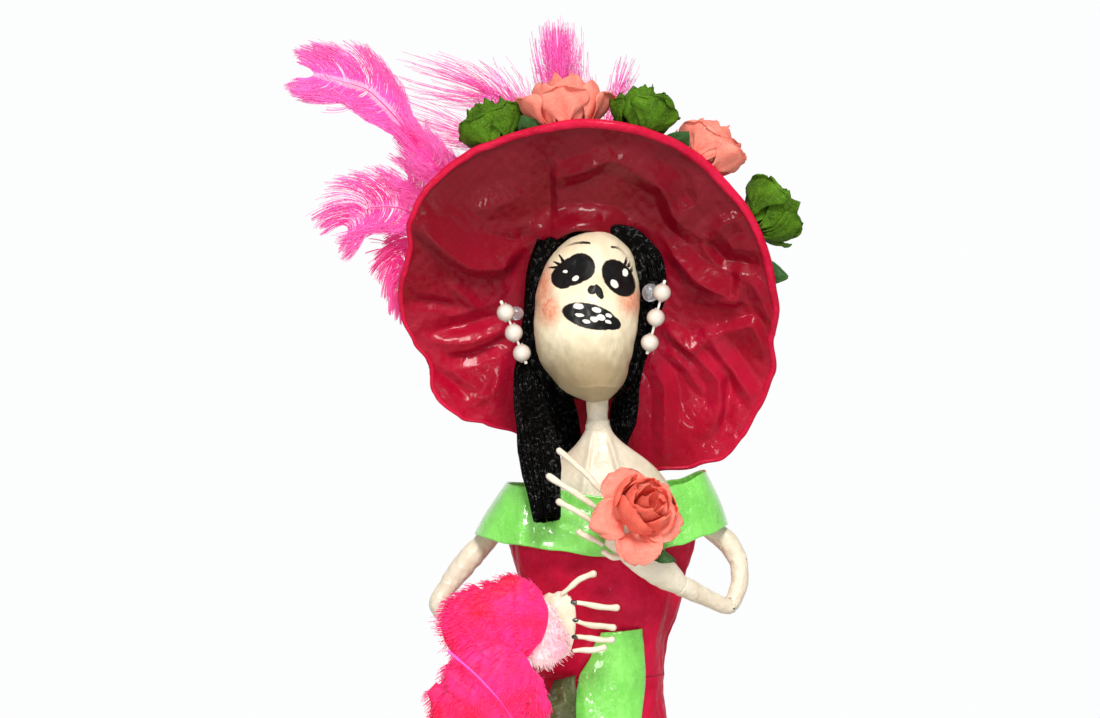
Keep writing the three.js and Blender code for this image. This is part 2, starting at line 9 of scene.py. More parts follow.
import bmesh
import bpy
import numpy as np
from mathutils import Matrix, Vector


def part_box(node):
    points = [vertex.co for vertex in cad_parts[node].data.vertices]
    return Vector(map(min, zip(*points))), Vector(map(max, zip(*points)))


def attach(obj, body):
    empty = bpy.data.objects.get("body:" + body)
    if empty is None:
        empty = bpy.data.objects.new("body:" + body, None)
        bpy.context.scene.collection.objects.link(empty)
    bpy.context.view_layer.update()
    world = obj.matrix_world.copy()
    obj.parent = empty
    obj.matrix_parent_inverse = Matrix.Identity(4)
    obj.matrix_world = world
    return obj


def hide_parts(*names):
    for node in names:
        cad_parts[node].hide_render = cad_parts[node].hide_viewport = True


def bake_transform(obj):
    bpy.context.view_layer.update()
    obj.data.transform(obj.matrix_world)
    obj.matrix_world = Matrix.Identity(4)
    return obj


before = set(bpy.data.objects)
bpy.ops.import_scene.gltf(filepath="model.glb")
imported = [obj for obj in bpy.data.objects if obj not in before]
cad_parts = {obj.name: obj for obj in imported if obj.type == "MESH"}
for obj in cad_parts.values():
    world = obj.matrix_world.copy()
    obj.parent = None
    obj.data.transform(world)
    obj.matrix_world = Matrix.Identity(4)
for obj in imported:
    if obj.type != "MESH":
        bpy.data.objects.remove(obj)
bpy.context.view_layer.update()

MM = 0.001
FIGURE = "figure"

# %% [markdown]
# ## Numbers that bend smoothly
#
# Nearly every shape below is a formula over a grid of two parameters. Three small helpers do most of the
# work: a soft step, a soft hump, and a smooth curve through a few chosen stations. They take whole numpy
# arrays, so a surface of fifty thousand points costs no more code than one of five.

# %% Curves of one variable
rng = np.random.default_rng(11)


def step(x, low, high):
    """0 below low, 1 above high, and the cubic 3t^2 - 2t^3 between them."""
    t = np.clip((x - low) / (high - low), 0, 1)
    return t * t * (3 - 2 * t)


def hump(x, centre, spread):
    """The bell exp(-d^2), where d is the distance from centre in units of spread."""
    return np.exp(-(((x - centre) / spread) ** 2))


def through(stations):
    """A curve through (position, value, value, ...) rows: a cubic Hermite piece between each two rows.

    The slope at a row is the mean slope of its two neighbours, so the pieces meet without a kink.
    """
    table = np.array(stations, float)
    at, values = table[:, 0], table[:, 1:]
    slopes = np.gradient(values, at, axis=0)

    def curve(x):
        x = np.clip(x, at[0], at[-1])
        i = np.clip(np.searchsorted(at, x, side="right") - 1, 0, len(at) - 2)
        span = (at[i + 1] - at[i])[..., None]
        t = (x - at[i])[..., None] / span
        rise = values[i] + (values[i + 1] - values[i]) * t * t * (3 - 2 * t)
        bend = (slopes[i] * span - (values[i + 1] - values[i])) * (1 - t)
        bend -= (slopes[i + 1] * span - (values[i + 1] - values[i])) * t
        found = rise + bend * t * (1 - t)
        return found[..., 0] if found.shape[-1] == 1 else found

    return curve


def unit(v):
    """Each vector divided by its length."""
    return v / np.maximum(np.linalg.norm(v, axis=-1, keepdims=True), 1e-12)


def grid(rows, columns):
    """Two arrays of parameters from 0 to 1: one runs down the rows, the other along the columns."""
    return np.meshgrid(np.linspace(0, 1, rows), np.linspace(0, 1, columns), indexing="ij")


# %% [markdown]
# ## Crumpled paper in one formula
#
# Paper that has been folded and pasted down shows flat facets with sharp creases between them. A triangle
# wave is flat, then sharply turned, then flat again, so a few of them laid over each other in random
# directions fold a surface just as a hand does. A slow sine bends each crease, so none is ruler-straight.

# %% Creases and ripples
def creases(p, q, size, layers=5):
    """Height of crumpled paper over coordinates p, q: the mean of triangle waves about `size` long."""
    total = np.zeros(np.shape(p))
    for _ in range(layers):
        turn, length, phase = rng.uniform(0, np.pi), size * rng.uniform(0.7, 1.9), rng.uniform(0, 1)
        along = p * np.cos(turn) + q * np.sin(turn)
        beside = q * np.cos(turn) - p * np.sin(turn)
        drift = 0.3 * size * np.sin(beside / size * rng.uniform(0.6, 1.5) + rng.uniform(0, 6))
        share = (along + drift) / length + phase
        total += 1 - 4 * np.abs(share - np.floor(share) - 0.5)
    return total / np.sqrt(layers)


def ripples(p, q, size, layers=6):
    """A smooth uneven height over p, q: the mean of sine waves about `size` long in random directions."""
    total = np.zeros(np.shape(p))
    for _ in range(layers):
        turn, length = rng.uniform(0, 2 * np.pi), size * rng.uniform(0.6, 1.7)
        total += np.sin(
            2 * np.pi * (p * np.cos(turn) + q * np.sin(turn)) / length + rng.uniform(0, 6.3)
        )
    return total / np.sqrt(layers)


# %% [markdown]
# ## From arrays to Blender meshes
#
# Blender can take a mesh as plain arrays with `foreach_set`, which is far quicker than adding one vertex
# at a time. A grid of points becomes quads by index arithmetic. Where a grid closes on itself or shrinks
# to a pole, the doubled points are merged, so every solid is closed and its faces can be turned outwards.

# %% Mesh makers
def grid_quads(rows, columns, round_rows=False, round_columns=False, first=0):
    """Quads between neighbours of a rows x columns grid; a `round` direction joins its end to its start."""
    i, j = np.meshgrid(
        np.arange(rows if round_rows else rows - 1),
        np.arange(columns if round_columns else columns - 1),
        indexing="ij",
    )
    k, m = (i + 1) % rows, (j + 1) % columns
    corners = [i * columns + j, k * columns + j, k * columns + m, i * columns + m]
    return first + np.stack(corners, -1).reshape(-1, 4)


def make_mesh(name, points, faces):
    """A mesh from points in millimetres and a list of index arrays, each of triangles or quads."""
    points = np.asarray(points, np.float32).reshape(-1, 3) * MM
    mesh = bpy.data.meshes.new(name)
    mesh.vertices.add(len(points))
    mesh.vertices.foreach_set("co", points.ravel())
    corners = np.concatenate([f.ravel() for f in faces]).astype(np.int32)
    sizes = np.concatenate([np.full(len(f), f.shape[1]) for f in faces])
    mesh.loops.add(len(corners))
    mesh.loops.foreach_set("vertex_index", corners)
    mesh.polygons.add(len(sizes))
    mesh.polygons.foreach_set("loop_start", np.concatenate([[0], np.cumsum(sizes)[:-1]]))
    mesh.polygons.foreach_set("use_smooth", np.ones(len(sizes), bool))
    mesh.update(calc_edges=True)
    return mesh


def seal(mesh, merge=0.004):
    """Merges points closer than `merge` millimetres and turns all faces outwards."""
    work = bmesh.new()
    work.from_mesh(mesh)
    bmesh.ops.remove_doubles(work, verts=work.verts, dist=merge * MM)
    bmesh.ops.recalc_face_normals(work, faces=work.faces)
    work.to_mesh(mesh)
    work.free()


def place(name, mesh, finish, slot, replaces=(), body=FIGURE):
    """Makes the mesh a piece of the figure: its finish, its body and what it hides. The slot is not used."""
    piece = bpy.data.objects.new(name, mesh)
    bpy.context.scene.collection.objects.link(piece)
    mesh.materials.append(finish)
    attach(piece, body)
    if replaces:
        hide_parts(*replaces)
    print(f"{name}: {len(mesh.vertices)} points, {len(mesh.polygons)} faces")
    return piece


def solid_piece(name, grids, finish, slot, **where):
    """A closed piece from one or more grids of points, each round in its columns and shut at its ends."""
    points, faces, first = [], [], 0
    for surface in grids:
        rows, columns = surface.shape[:2]
        points.append(surface.reshape(-1, 3))
        faces.append(grid_quads(rows, columns, round_columns=True, first=first))
        first += rows * columns
    mesh = make_mesh(name, np.concatenate(points), faces)
    seal(mesh)
    return place(name, mesh, finish, slot, **where)


def sheet_faces(rows, columns):
    """Faces of a closed sheet: the first half of the rows is its front, the rest its back in reverse."""
    low, high = np.arange(rows // 2 - 1), rows - 1 - np.arange(rows // 2 - 1)
    edge = np.stack([low, high, high - 1, low + 1], -1) * columns
    return [grid_quads(rows, columns, round_rows=True), edge, edge[:, ::-1] + columns - 1]


def paper_piece(name, front, wall, finish, slot, **where):
    """A sheet of paper `wall` thick from the grid of its front: the back is the front moved inwards.

    The two sides are joined round the sheet's edge: rows run front then back, and close on themselves.
    Inwards is the direction of (step between rows) x (step between columns).
    """
    inward = unit(np.cross(np.gradient(front, axis=0), np.gradient(front, axis=1)))
    both = np.concatenate([front, (front + inward * wall)[::-1]])
    mesh = make_mesh(name, both, sheet_faces(*both.shape[:2]))
    seal(mesh)
    return place(name, mesh, finish, slot, **where)


def ring_piece(name, front, wall, finish, slot, **where):
    """A closed ring of paper `wall` thick. The grid's columns go once round; the last repeats the first."""
    outer = front[:, :-1]
    round_step, row_step = np.roll(outer, -1, 1) - np.roll(outer, 1, 1), np.gradient(outer, axis=0)
    inner = outer - unit(np.cross(round_step, row_step)) * wall
    both = np.concatenate([outer, inner[::-1]])
    rows, columns = both.shape[:2]
    mesh = make_mesh(name, both, [grid_quads(rows, columns, round_rows=True, round_columns=True)])
    seal(mesh)
    return place(name, mesh, finish, slot, **where)


# %% [markdown]
# ## Tubes and bundles
#
# Arms, fingers and quills are tubes: a round section carried along a curve. Hair and feathers are hundreds
# of very thin tubes at once. Both use the same idea: at each point of the path, two directions square to
# the path span the section, and the section's points are a cosine and a sine along them.

# %% Paths, tubes and strands
def path(points, count=60):
    """`count` evenly spaced points on a smooth curve through given points."""
    points = np.array(points, float)
    walk = np.concatenate([[0], np.cumsum(np.linalg.norm(np.diff(points, axis=0), axis=1))])
    curve = through(np.column_stack([walk, points]))
    fine = curve(np.linspace(0, walk[-1], 400))
    true_walk = np.concatenate([[0], np.cumsum(np.linalg.norm(np.diff(fine, axis=0), axis=1))])
    even = np.linspace(0, true_walk[-1], count)
    return np.stack([np.interp(even, true_walk, fine[:, k]) for k in range(3)], -1)


def across(line, facing):
    """Two unit directions square to each step of a line: one lies flat, the other points to `facing`."""
    run = unit(np.gradient(line, axis=-2))
    wide = unit(np.cross(run, np.broadcast_to(np.asarray(facing, float), run.shape)))
    return wide, np.cross(wide, run)


def tube(line, half_wide, half_thick=None, sides=24, facing=(0, -1, 0), lumps=0.0, shut=0.5):
    """Points of a tube round a line: centre + wide * cos(a) + thick * sin(a), with rounded ends.

    `half_wide` and `half_thick` are half sizes, one for each step of the line. `shut` is the length of
    each rounded end in units of the half size there. `lumps` is the height of an uneven surface.
    """
    half_wide = np.broadcast_to(half_wide, len(line)).astype(float)
    half_thick = half_wide if half_thick is None else np.broadcast_to(half_thick, len(line))
    walk = np.concatenate([[0], np.cumsum(np.linalg.norm(np.diff(line, axis=0), axis=1))])
    close = np.ones(len(line))
    for away, half in ((walk, half_wide[0]), (walk[-1] - walk, half_wide[-1])):
        near = np.clip(away / max(shut * half, 1e-6), 0, 1)
        close *= np.sqrt(1 - (1 - near) ** 2)
    wide, thick = across(line, facing)
    angle = np.linspace(0, 2 * np.pi, sides, endpoint=False)
    swell = 1 + lumps * ripples(walk[:, None] + 0 * angle, 2.2 * half_wide.mean() * np.cos(angle), 4.0)
    ring_a = np.cos(angle) * half_wide[:, None] * close[:, None] * swell
    ring_b = np.sin(angle) * half_thick[:, None] * close[:, None] * swell
    return line[:, None] + wide[:, None] * ring_a[..., None] + thick[:, None] * ring_b[..., None]


def strands_mesh(name, lines, half, facing=(0, -1, 0), sides=3):
    """Many thin tubes at once. lines is (strands, steps, 3) and half is the half thickness at each step.

    Each tube is a `sides`-sided prism that is closed at both ends by one flat face.
    """
    count, steps = lines.shape[:2]
    wide, thick = across(lines, facing)
    angle = np.linspace(0, 2 * np.pi, sides, endpoint=False)
    half = np.broadcast_to(half, (count, steps))[..., None, None]
    ring = wide[:, :, None] * np.cos(angle)[:, None] + thick[:, :, None] * np.sin(angle)[:, None]
    points = lines[:, :, None] + ring * half
    one = grid_quads(steps, sides, round_columns=True)
    starts = np.arange(count)[:, None, None] * steps * sides
    quads = (one[None] + starts).reshape(-1, 4)
    rim = np.arange(sides)
    caps = np.stack([rim[::-1], (steps - 1) * sides + rim])
    return make_mesh(name, points, [quads[:, ::-1], (caps[None, :, ::-1] + starts).reshape(-1, sides)])


# %% [markdown]
# ## Camera, lights and floor
#
# The camera comes first, so that every later piece can be judged through it. It stands level with her
# chin and looks a little past her right side, so the long feather has room. A large lamp above and in
# front gives the shade under the chin, deepened by painted shade on the jaw, and a wide low one, which no
# reflection shows, lifts the dark parts. A small lamp adds glints, and one on her right side draws the
# bright streaks on lacquer. The world is bright only behind her, but the camera itself sees it pale
# wherever it looks.

# %% Camera
VIEW_CENTRE = (-16, 0, 310.3)
VIEW_WIDTH = 366.7
LENS, SENSOR = 85, 36
view_distance = VIEW_WIDTH * LENS / SENSOR

camera = bpy.data.objects.new("camera", bpy.data.cameras.new("camera"))
camera.data.lens, camera.data.sensor_width = LENS, SENSOR
camera.location = Vector(VIEW_CENTRE) * MM - Vector((0, view_distance * MM, 0))
camera.rotation_euler = (np.pi / 2, 0, 0)
camera.data.clip_start, camera.data.clip_end = 0.01, 20
bpy.context.scene.collection.objects.link(camera)
bpy.context.scene.camera = camera
bpy.context.scene.view_settings.view_transform = "Standard"

# %% Lights and floor
LAMP_AIM = (0, 0, 310)
LAMPS = {
    "key_light": {"at": (90, -690, 900), "size": 300, "watts": 7.9, "tint": (1, 0.98, 0.95)},
    "low_light": {"at": (60, -760, 60), "size": 260, "watts": 1.8, "tint": (1, 0.99, 0.97)},
    "glint_light": {"at": (40, -780, 60), "size": 70, "watts": 0.22, "tint": (1, 1, 1)},
    "streak_light": {"at": (-420, -680, 420), "size": 130, "watts": 1.0, "tint": (1, 1, 1)},
}
for name, lamp in LAMPS.items():
    light = bpy.data.lights.new(name, "AREA")
    light.energy, light.size, light.color = lamp["watts"], lamp["size"] * MM, lamp["tint"]
    holder = bpy.data.objects.new(name, light)
    holder.location = Vector(lamp["at"]) * MM
    aim = Vector(LAMP_AIM) * MM - holder.location
    holder.rotation_euler = aim.to_track_quat("-Z", "Y").to_euler()
    holder.visible_glossy = name != "low_light"
    bpy.context.scene.collection.objects.link(holder)

world = bpy.data.worlds.new("studio")
world.use_nodes = True
sky = world.node_tree
heading = sky.nodes.new("ShaderNodeTexCoord")
parts = sky.nodes.new("ShaderNodeSeparateXYZ")
behind = sky.nodes.new("ShaderNodeMapRange")
behind.interpolation_type = "SMOOTHSTEP"
for label, value in (("From Min", 0.2), ("From Max", 0.85), ("To Min", 0.24), ("To Max", 0.99)):
    behind.inputs[label].default_value = value
sky.links.new(heading.outputs["Generated"], parts.inputs[0])
sky.links.new(parts.outputs["Y"], behind.inputs["Value"])
direct = sky.nodes.new("ShaderNodeLightPath")
paler = sky.nodes.new("ShaderNodeMath")
paler.operation = "MAXIMUM"
sky.links.new(behind.outputs["Result"], paler.inputs[0])
sky.links.new(direct.outputs["Is Camera Ray"], paler.inputs[1])
sky.links.new(paler.outputs[0], sky.nodes["Background"].inputs["Strength"])
sky.nodes["Background"].inputs["Color"].default_value = (0.98, 0.985, 0.99, 1)
bpy.context.scene.world = world

FLOOR_RADIUS = 700
turn = np.linspace(0, 2 * np.pi, 97)[:-1]
rings = np.array([0.02, 0.5, 1])[:, None, None] * FLOOR_RADIUS
floor_points = rings * np.stack([np.cos(turn), np.sin(turn), 0 * turn], -1)
floor_mesh = make_mesh("floor", floor_points, [grid_quads(3, 96, round_columns=True)])
floor = bpy.data.objects.new("floor", floor_mesh)
bpy.context.scene.collection.objects.link(floor)
floor_finish = bpy.data.materials.new("floor_paper")
floor_finish.use_nodes = True
floor_shader = floor_finish.node_tree.nodes["Principled BSDF"]
floor_shader.inputs["Base Color"].default_value = (0.62, 0.62, 0.61, 1)
floor_shader.inputs["Roughness"].default_value = 0.6
floor.data.materials.append(floor_finish)
print("camera", [round(x, 3) for x in camera.location])

# %% [markdown]
# ## Finishes from shared node groups
#
# The lacquered papers, the dry paper of the roses and the painted bone all show the same two things: a
# cloudy tint where the paste dried unevenly, and a fine fibre. One node group makes both, and each finish
# places it with its own colours. The shader itself stays in each material, where its gloss is set.

# %% Node helpers
COLOUR, FLOAT, VECTOR = "NodeSocketColor", "NodeSocketFloat", "NodeSocketVector"


def new_group(name, inputs, outputs):
    """An empty shader group. inputs maps a label to (kind, default) and outputs maps a label to a kind."""
    tree = bpy.data.node_groups.new(name, "ShaderNodeTree")
    for label, (kind, default) in inputs.items():
        tree.interface.new_socket(label, in_out="INPUT", socket_type=kind).default_value = default
    for label, kind in outputs.items():
        tree.interface.new_socket(label, in_out="OUTPUT", socket_type=kind)
    return tree, tree.nodes.new("NodeGroupInput").outputs, tree.nodes.new("NodeGroupOutput").inputs


def add(tree, kind, inputs=None, **settings):
    """Adds a node. An input is given a value, or another node's output to be linked to it."""
    made = tree.nodes.new("ShaderNode" + kind)
    for key, value in settings.items():
        setattr(made, key, value)
    for key, value in (inputs or {}).items():
        if isinstance(value, bpy.types.NodeSocket):
            tree.links.new(value, made.inputs[key])
        else:
            made.inputs[key].default_value = value
    return made


def calc(tree, operation, *values):
    """A Math node's output."""
    return add(tree, "Math", dict(enumerate(values)), operation=operation).outputs[0]


def remap(tree, value, low, high, to_low=0.0, to_high=1.0):
    """A smooth Map Range from low..high to to_low..to_high."""
    sockets = {"Value": value, "From Min": low, "From Max": high, "To Min": to_low, "To Max": to_high}
    return add(tree, "MapRange", sockets, interpolation_type="SMOOTHSTEP").outputs["Result"]


def mix(tree, share, a, b):
    """A colour mix: a where share is 0 and b where it is 1. Sockets 6, 7 and 2 are the node's colours."""
    return add(tree, "Mix", {"Factor": share, 6: a, 7: b}, data_type="RGBA").outputs[2]


def noise(tree, vector, scale, detail=4.0, rough=0.55, distortion=0.0):
    """A noise texture's value."""
    sockets = {"Vector": vector, "Scale": scale, "Detail": detail}
    sockets |= {"Roughness": rough, "Distortion": distortion}
    return add(tree, "TexNoise", sockets).outputs[0]


# %% The paper group
def make_paper_group():
    """Cloudy tint and fibre: two sizes of noise mix three colours, and a third noise gives the height."""
    grey = (0.5, 0.5, 0.5, 1)
    tree, given, out = new_group(
        "paper_surface",
        {
            "Colour": (COLOUR, grey),
            "Shade": (COLOUR, grey),
            "Light": (COLOUR, grey),
            "Cloud size": (FLOAT, 90.0),
            "Fibre size": (FLOAT, 900.0),
            "Fibre share": (FLOAT, 0.5),
            "Gloss low": (FLOAT, 0.2),
            "Gloss high": (FLOAT, 0.45),
        },
        {"Colour": COLOUR, "Roughness": FLOAT, "Height": FLOAT},
    )
    spot = add(tree, "TexCoord").outputs["Object"]
    cloud = remap(tree, noise(tree, spot, given["Cloud size"], 5, 0.6, 0.4), 0.3, 0.7)
    fibre = noise(tree, spot, given["Fibre size"], 5, 0.65, 0.8)
    tint = mix(tree, cloud, given["Shade"], given["Colour"])
    thread = calc(tree, "MULTIPLY", remap(tree, fibre, 0.45, 0.75), given["Fibre share"])
    tree.links.new(mix(tree, thread, tint, given["Light"]), out["Colour"])
    wet = remap(tree, noise(tree, spot, calc(tree, "MULTIPLY", given["Cloud size"], 3.1), 4), 0.35, 0.65)
    tree.links.new(remap(tree, wet, 0, 1, given["Gloss low"], given["Gloss high"]), out["Roughness"])
    tree.links.new(calc(tree, "ADD", calc(tree, "MULTIPLY", fibre, 0.6), wet), out["Height"])
    return tree


paper_group = make_paper_group()


def finish(name, **plain):
    """A material and its Principled shader, with plain values on the shader's own sockets."""
    material = bpy.data.materials.new(name)
    material.use_nodes = True
    shader = material.node_tree.nodes["Principled BSDF"]
    for label, value in plain.items():
        shader.inputs[label.replace("_", " ")].default_value = value
    return material, material.node_tree, shader


def paper_finish(name, colour, shade, light, cloud, fibre, share, gloss, relief, **plain):
    """A painted or lacquered paper: the paper group feeds its colour, roughness and bump."""
    material, tree, shader = finish(name, **plain)
    paper = add(tree, "Group", node_tree=paper_group)
    for label, value in (("Colour", colour), ("Shade", shade), ("Light", light)):
        paper.inputs[label].default_value = (*value, 1)
    numbers = (("Cloud size", cloud), ("Fibre size", fibre), ("Fibre share", share))
    for label, value in (*numbers, ("Gloss low", gloss[0]), ("Gloss high", gloss[1])):
        paper.inputs[label].default_value = value
    tree.links.new(paper.outputs["Colour"], shader.inputs["Base Color"])
    tree.links.new(paper.outputs["Roughness"], shader.inputs["Roughness"])
    bumps = {"Height": paper.outputs["Height"], "Strength": 1.0, "Distance": relief * MM}
    tree.links.new(add(tree, "Bump", bumps).outputs["Normal"], shader.inputs["Normal"])
    return material


# %% The paper finishes
CRIMSON = paper_finish(
    "crimson_lacquer", (0.67, 0.012, 0.058), (0.53, 0.005, 0.034), (0.74, 0.028, 0.095),
    cloud=60, fibre=700, share=0.35, gloss=(0.34, 0.52), relief=0.16,
    Specular_IOR_Level=0.08, Coat_Weight=0.10, Coat_Roughness=0.08,
)


def hat_finish():
    """The same lacquer on the hat, with painted shade that darkens it towards the top of the brim."""
    material = paper_finish(
        "hat_lacquer", (0.50, 0.005, 0.034), (0.40, 0.002, 0.020), (0.56, 0.012, 0.055),
        cloud=45, fibre=700, share=0.3, gloss=(0.22, 0.42), relief=0.16,
        Specular_IOR_Level=0.14, Coat_Weight=0.25, Coat_Roughness=0.06,
    )
    tree = material.node_tree
    height = add(tree, "SeparateXYZ", {0: add(tree, "TexCoord").outputs["Object"]}).outputs["Z"]
    # Painted shade: the colour darkens with height towards the top of the brim, standing for the shade under
    # its forward-leaning upper half.
    brim_low, brim_high = 292, 366
    thick = remap(tree, calc(tree, "MULTIPLY", height, 1000), brim_low, brim_high, 0.02, 0.74)
    painted_top_shade = mix(tree, thick, tree.nodes["Group"].outputs["Colour"], (0.085, 0.0015, 0.003, 1))
    tree.links.new(painted_top_shade, tree.nodes["Principled BSDF"].inputs["Base Color"])
    return material


HAT_CRIMSON = hat_finish()
GREEN = paper_finish(
    "green_lacquer", (0.26, 0.82, 0.13), (0.19, 0.68, 0.09), (0.42, 0.90, 0.28),
    cloud=60, fibre=1100, share=0.45, gloss=(0.1, 0.32), relief=0.26, Coat_Weight=0.85, Coat_Roughness=0.06,
)
# Green paper coloured dark olive as painted shade, for the fold at the hip that lies in shadow.
GREEN_IN_PAINTED_SHADE = paper_finish(
    "shaded_green_paper", (0.09, 0.11, 0.03), (0.05, 0.06, 0.02), (0.2, 0.22, 0.1),
    cloud=120, fibre=900, share=0.5, gloss=(0.3, 0.6), relief=0.2,
)
BONE = paper_finish(
    "bone_paint", (0.87, 0.80, 0.64), (0.78, 0.66, 0.49), (0.93, 0.89, 0.78),
    cloud=110, fibre=1500, share=0.35, gloss=(0.3, 0.5), relief=0.12, Coat_Weight=0.15, Coat_Roughness=0.25,
)
# Two copies of one coral paper: the deeper one is painted shade, worn by the held rose's cup petals for the
# folds of the cup.
CORAL = paper_finish(
    "coral_rose_paper", (0.93, 0.17, 0.105), (0.86, 0.09, 0.06), (0.96, 0.32, 0.22),
    cloud=160, fibre=2200, share=0.6, gloss=(0.7, 0.9), relief=0.08,
    Subsurface_Weight=0.15, Subsurface_Scale=0.002,
)
CORAL_PALE = paper_finish(
    "pale_rose_paper", (0.95, 0.29, 0.21), (0.92, 0.18, 0.13), (0.97, 0.44, 0.35),
    cloud=160, fibre=2200, share=0.6, gloss=(0.7, 0.9), relief=0.08,
    Subsurface_Weight=0.15, Subsurface_Scale=0.002,
)
ROSE_GREEN = paper_finish(
    "green_rose_paper", (0.075, 0.19, 0.008), (0.028, 0.075, 0.004), (0.24, 0.44, 0.03),
    cloud=170, fibre=2200, share=0.6, gloss=(0.6, 0.85), relief=0.08, Specular_IOR_Level=0.12,
)
LEAF = paper_finish(
    "leaf_paper", (0.03, 0.11, 0.02), (0.015, 0.06, 0.012), (0.10, 0.24, 0.05),
    cloud=150, fibre=2200, share=0.5, gloss=(0.6, 0.85), relief=0.08,
)
BOARD = paper_finish(
    "base_board", (0.36, 0.23, 0.12), (0.28, 0.17, 0.09), (0.5, 0.36, 0.22),
    cloud=60, fibre=700, share=0.5, gloss=(0.75, 0.95), relief=0.1,
)


def wire_finish():
    """Dull steel: a fine noise turns bright metal towards a brown tarnish and roughens it there."""
    material, tree, shader = finish("wire", Metallic=0.85)
    spot = add(tree, "TexCoord").outputs["Object"]
    stain = remap(tree, noise(tree, spot, 700, 4), 0.4, 0.62)
    steel, tarnish = (0.16, 0.16, 0.16, 1), (0.05, 0.035, 0.025, 1)
    tree.links.new(mix(tree, stain, steel, tarnish), shader.inputs["Base Color"])
    tree.links.new(remap(tree, stain, 0, 1, 0.3, 0.6), shader.inputs["Roughness"])
    return material


def thread_finish():
    """Pale thread: a fine noise darkens it in small flecks."""
    material, tree, shader = finish("thread", Roughness=0.5)
    spot = add(tree, "TexCoord").outputs["Object"]
    flecks = remap(tree, noise(tree, spot, 1800, 2), 0.35, 0.65)
    colour = mix(tree, flecks, (0.72, 0.66, 0.58, 1), (0.88, 0.85, 0.80, 1))
    tree.links.new(colour, shader.inputs["Base Color"])
    return material


def glue_finish():
    """Hot glue: nearly clear, with a milky cloud inside it."""
    material, tree, shader = finish("clear_glue", Transmission_Weight=0.8, Roughness=0.1, IOR=1.45)
    spot = add(tree, "TexCoord").outputs["Object"]
    milk = remap(tree, noise(tree, spot, 350, 3), 0.35, 0.65)
    tree.links.new(mix(tree, milk, (0.62, 0.62, 0.64, 1), (0.85, 0.86, 0.88, 1)), shader.inputs["Base Color"])
    tree.links.new(remap(tree, milk, 0, 1, 0.06, 0.25), shader.inputs["Roughness"])
    return material


WIRE, THREAD, GLUE = wire_finish(), thread_finish(), glue_finish()
for name in ("spine_wire", "arm_wire_right", "arm_wire_left"):
    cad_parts[name].data.materials.clear()
    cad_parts[name].data.materials.append(WIRE)

# %% [markdown]
# ## The dress
#
# The dress is one long trumpet of pasted paper, drawn in at the waist and flared at the hem. Each level is
# an oval whose two half axes and sideways shift are read from a curve. Working out the whole dress on one
# grid and cutting it at the waist keeps the folds of skirt and bodice in line across the joint.

# %% Dress levels
hem_low, hem_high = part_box("skirt_shell")
bust_low, bust_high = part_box("bodice_shell")
HEM_Z, WAIST_Z, BUST_Z = hem_low.z / MM, bust_low.z / MM, bust_high.z / MM

# height: half width, half depth, shift to her left
dress_level = through([
    (HEM_Z, 52, 50, 0),
    (45, 33, 32, 0),
    (92, 25.5, 24.5, 0),
    (162, 30, 26, 0),
    (WAIST_Z, 22.3, 17, 0),
    (214, 22.8, 17.2, 0.2),
    (234, 27.6, 18.4, 1.1),
    (BUST_Z, 31.1, 19.5, 1.7),
])


def dress_point(a, z, out=0.0):
    """The oval (shift + (half width + out) cos a, (half depth + out) sin a) at height z."""
    level = dress_level(z)
    wide, deep, shift = level[..., 0], level[..., 1], level[..., 2]
    return np.stack([shift + (wide + out) * np.cos(a), (deep + out) * np.sin(a), z], -1)


def flutes(a, z):
    """Eleven soft folds round the skirt, deepest at the hem and gone at a height of 110."""
    return 1.9 * step(z, 110, 10) * np.cos(11 * a + 0.8 * np.sin(3 * a) + 0.012 * z)


# %% Skirt and bodice
v, u = grid(200, 180)
dress_z = HEM_Z + (BUST_Z - HEM_Z) * v
dress_a = 2 * np.pi * u
girth = 26 * dress_a
torso = step(dress_z, 185, 215)
folds = 0.55 * creases(girth, dress_z, 17) * (0.45 + 0.75 * torso)
folds += 0.9 * torso * creases(girth + 0.9 * dress_z, 0.35 * dress_z, 22, layers=3) * hump(dress_z, 232, 24)
dress_out = folds + flutes(dress_a, dress_z) + 0.12 * ripples(girth, dress_z, 5)
dress = dress_point(dress_a, dress_z, dress_out - 0.5)
waist_row = int(np.argmin(np.abs(dress_z[:, 0] - WAIST_Z)))

PAPER_WALL = 1.3
ring_piece("skirt", dress[: waist_row + 1], PAPER_WALL, CRIMSON, "crimson_paper", replaces=["skirt_shell"])
ring_piece("bodice", dress[waist_row:], PAPER_WALL, CRIMSON, "crimson_paper", replaces=["bodice_shell"])

# %% Hem band and base board
v, u = grid(26, 200)
band_a, band_z = 2 * np.pi * u, HEM_Z + 19 * v
hem = dress_point(band_a, band_z, 1.7 + flutes(band_a, band_z) + 0.2 * creases(52 * band_a, band_z, 9))
ring_piece("hem_strip", hem, 1.0, GREEN, "green_paper", replaces=["hem_band"])

base_low, base_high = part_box("base_board")
BASE_RADIUS, BASE_THICK = base_high.x / MM, base_high.z / MM
ring_r = np.array([0, 0.5, 0.985, 0.997, 1, 1, 0.997, 0.985, 0.5, 0]) * BASE_RADIUS
ring_z = np.array([0, 0, 0, 0.1, 0.3, 0.7, 0.9, 1, 1, 1]) * BASE_THICK
turn = np.linspace(0, 2 * np.pi, 121)[:-1]
ring_r, ring_z = ring_r[:, None], ring_z[:, None]
board = np.stack([ring_r * np.cos(turn), ring_r * np.sin(turn), ring_z + 0 * turn], -1)
solid_piece("base", [board], BOARD, "board", replaces=["base_board"])

# %% [markdown]
# ## Green strips
#
# Three strips of bright green paper trim the dress: one down the front, one round the hem and one off the
# shoulders. A strip is stiff with lacquer, so it bulges in one clean curve and catches a single broad
# streak of light. The front strip follows the dress and stands off it by a few millimetres in the middle.

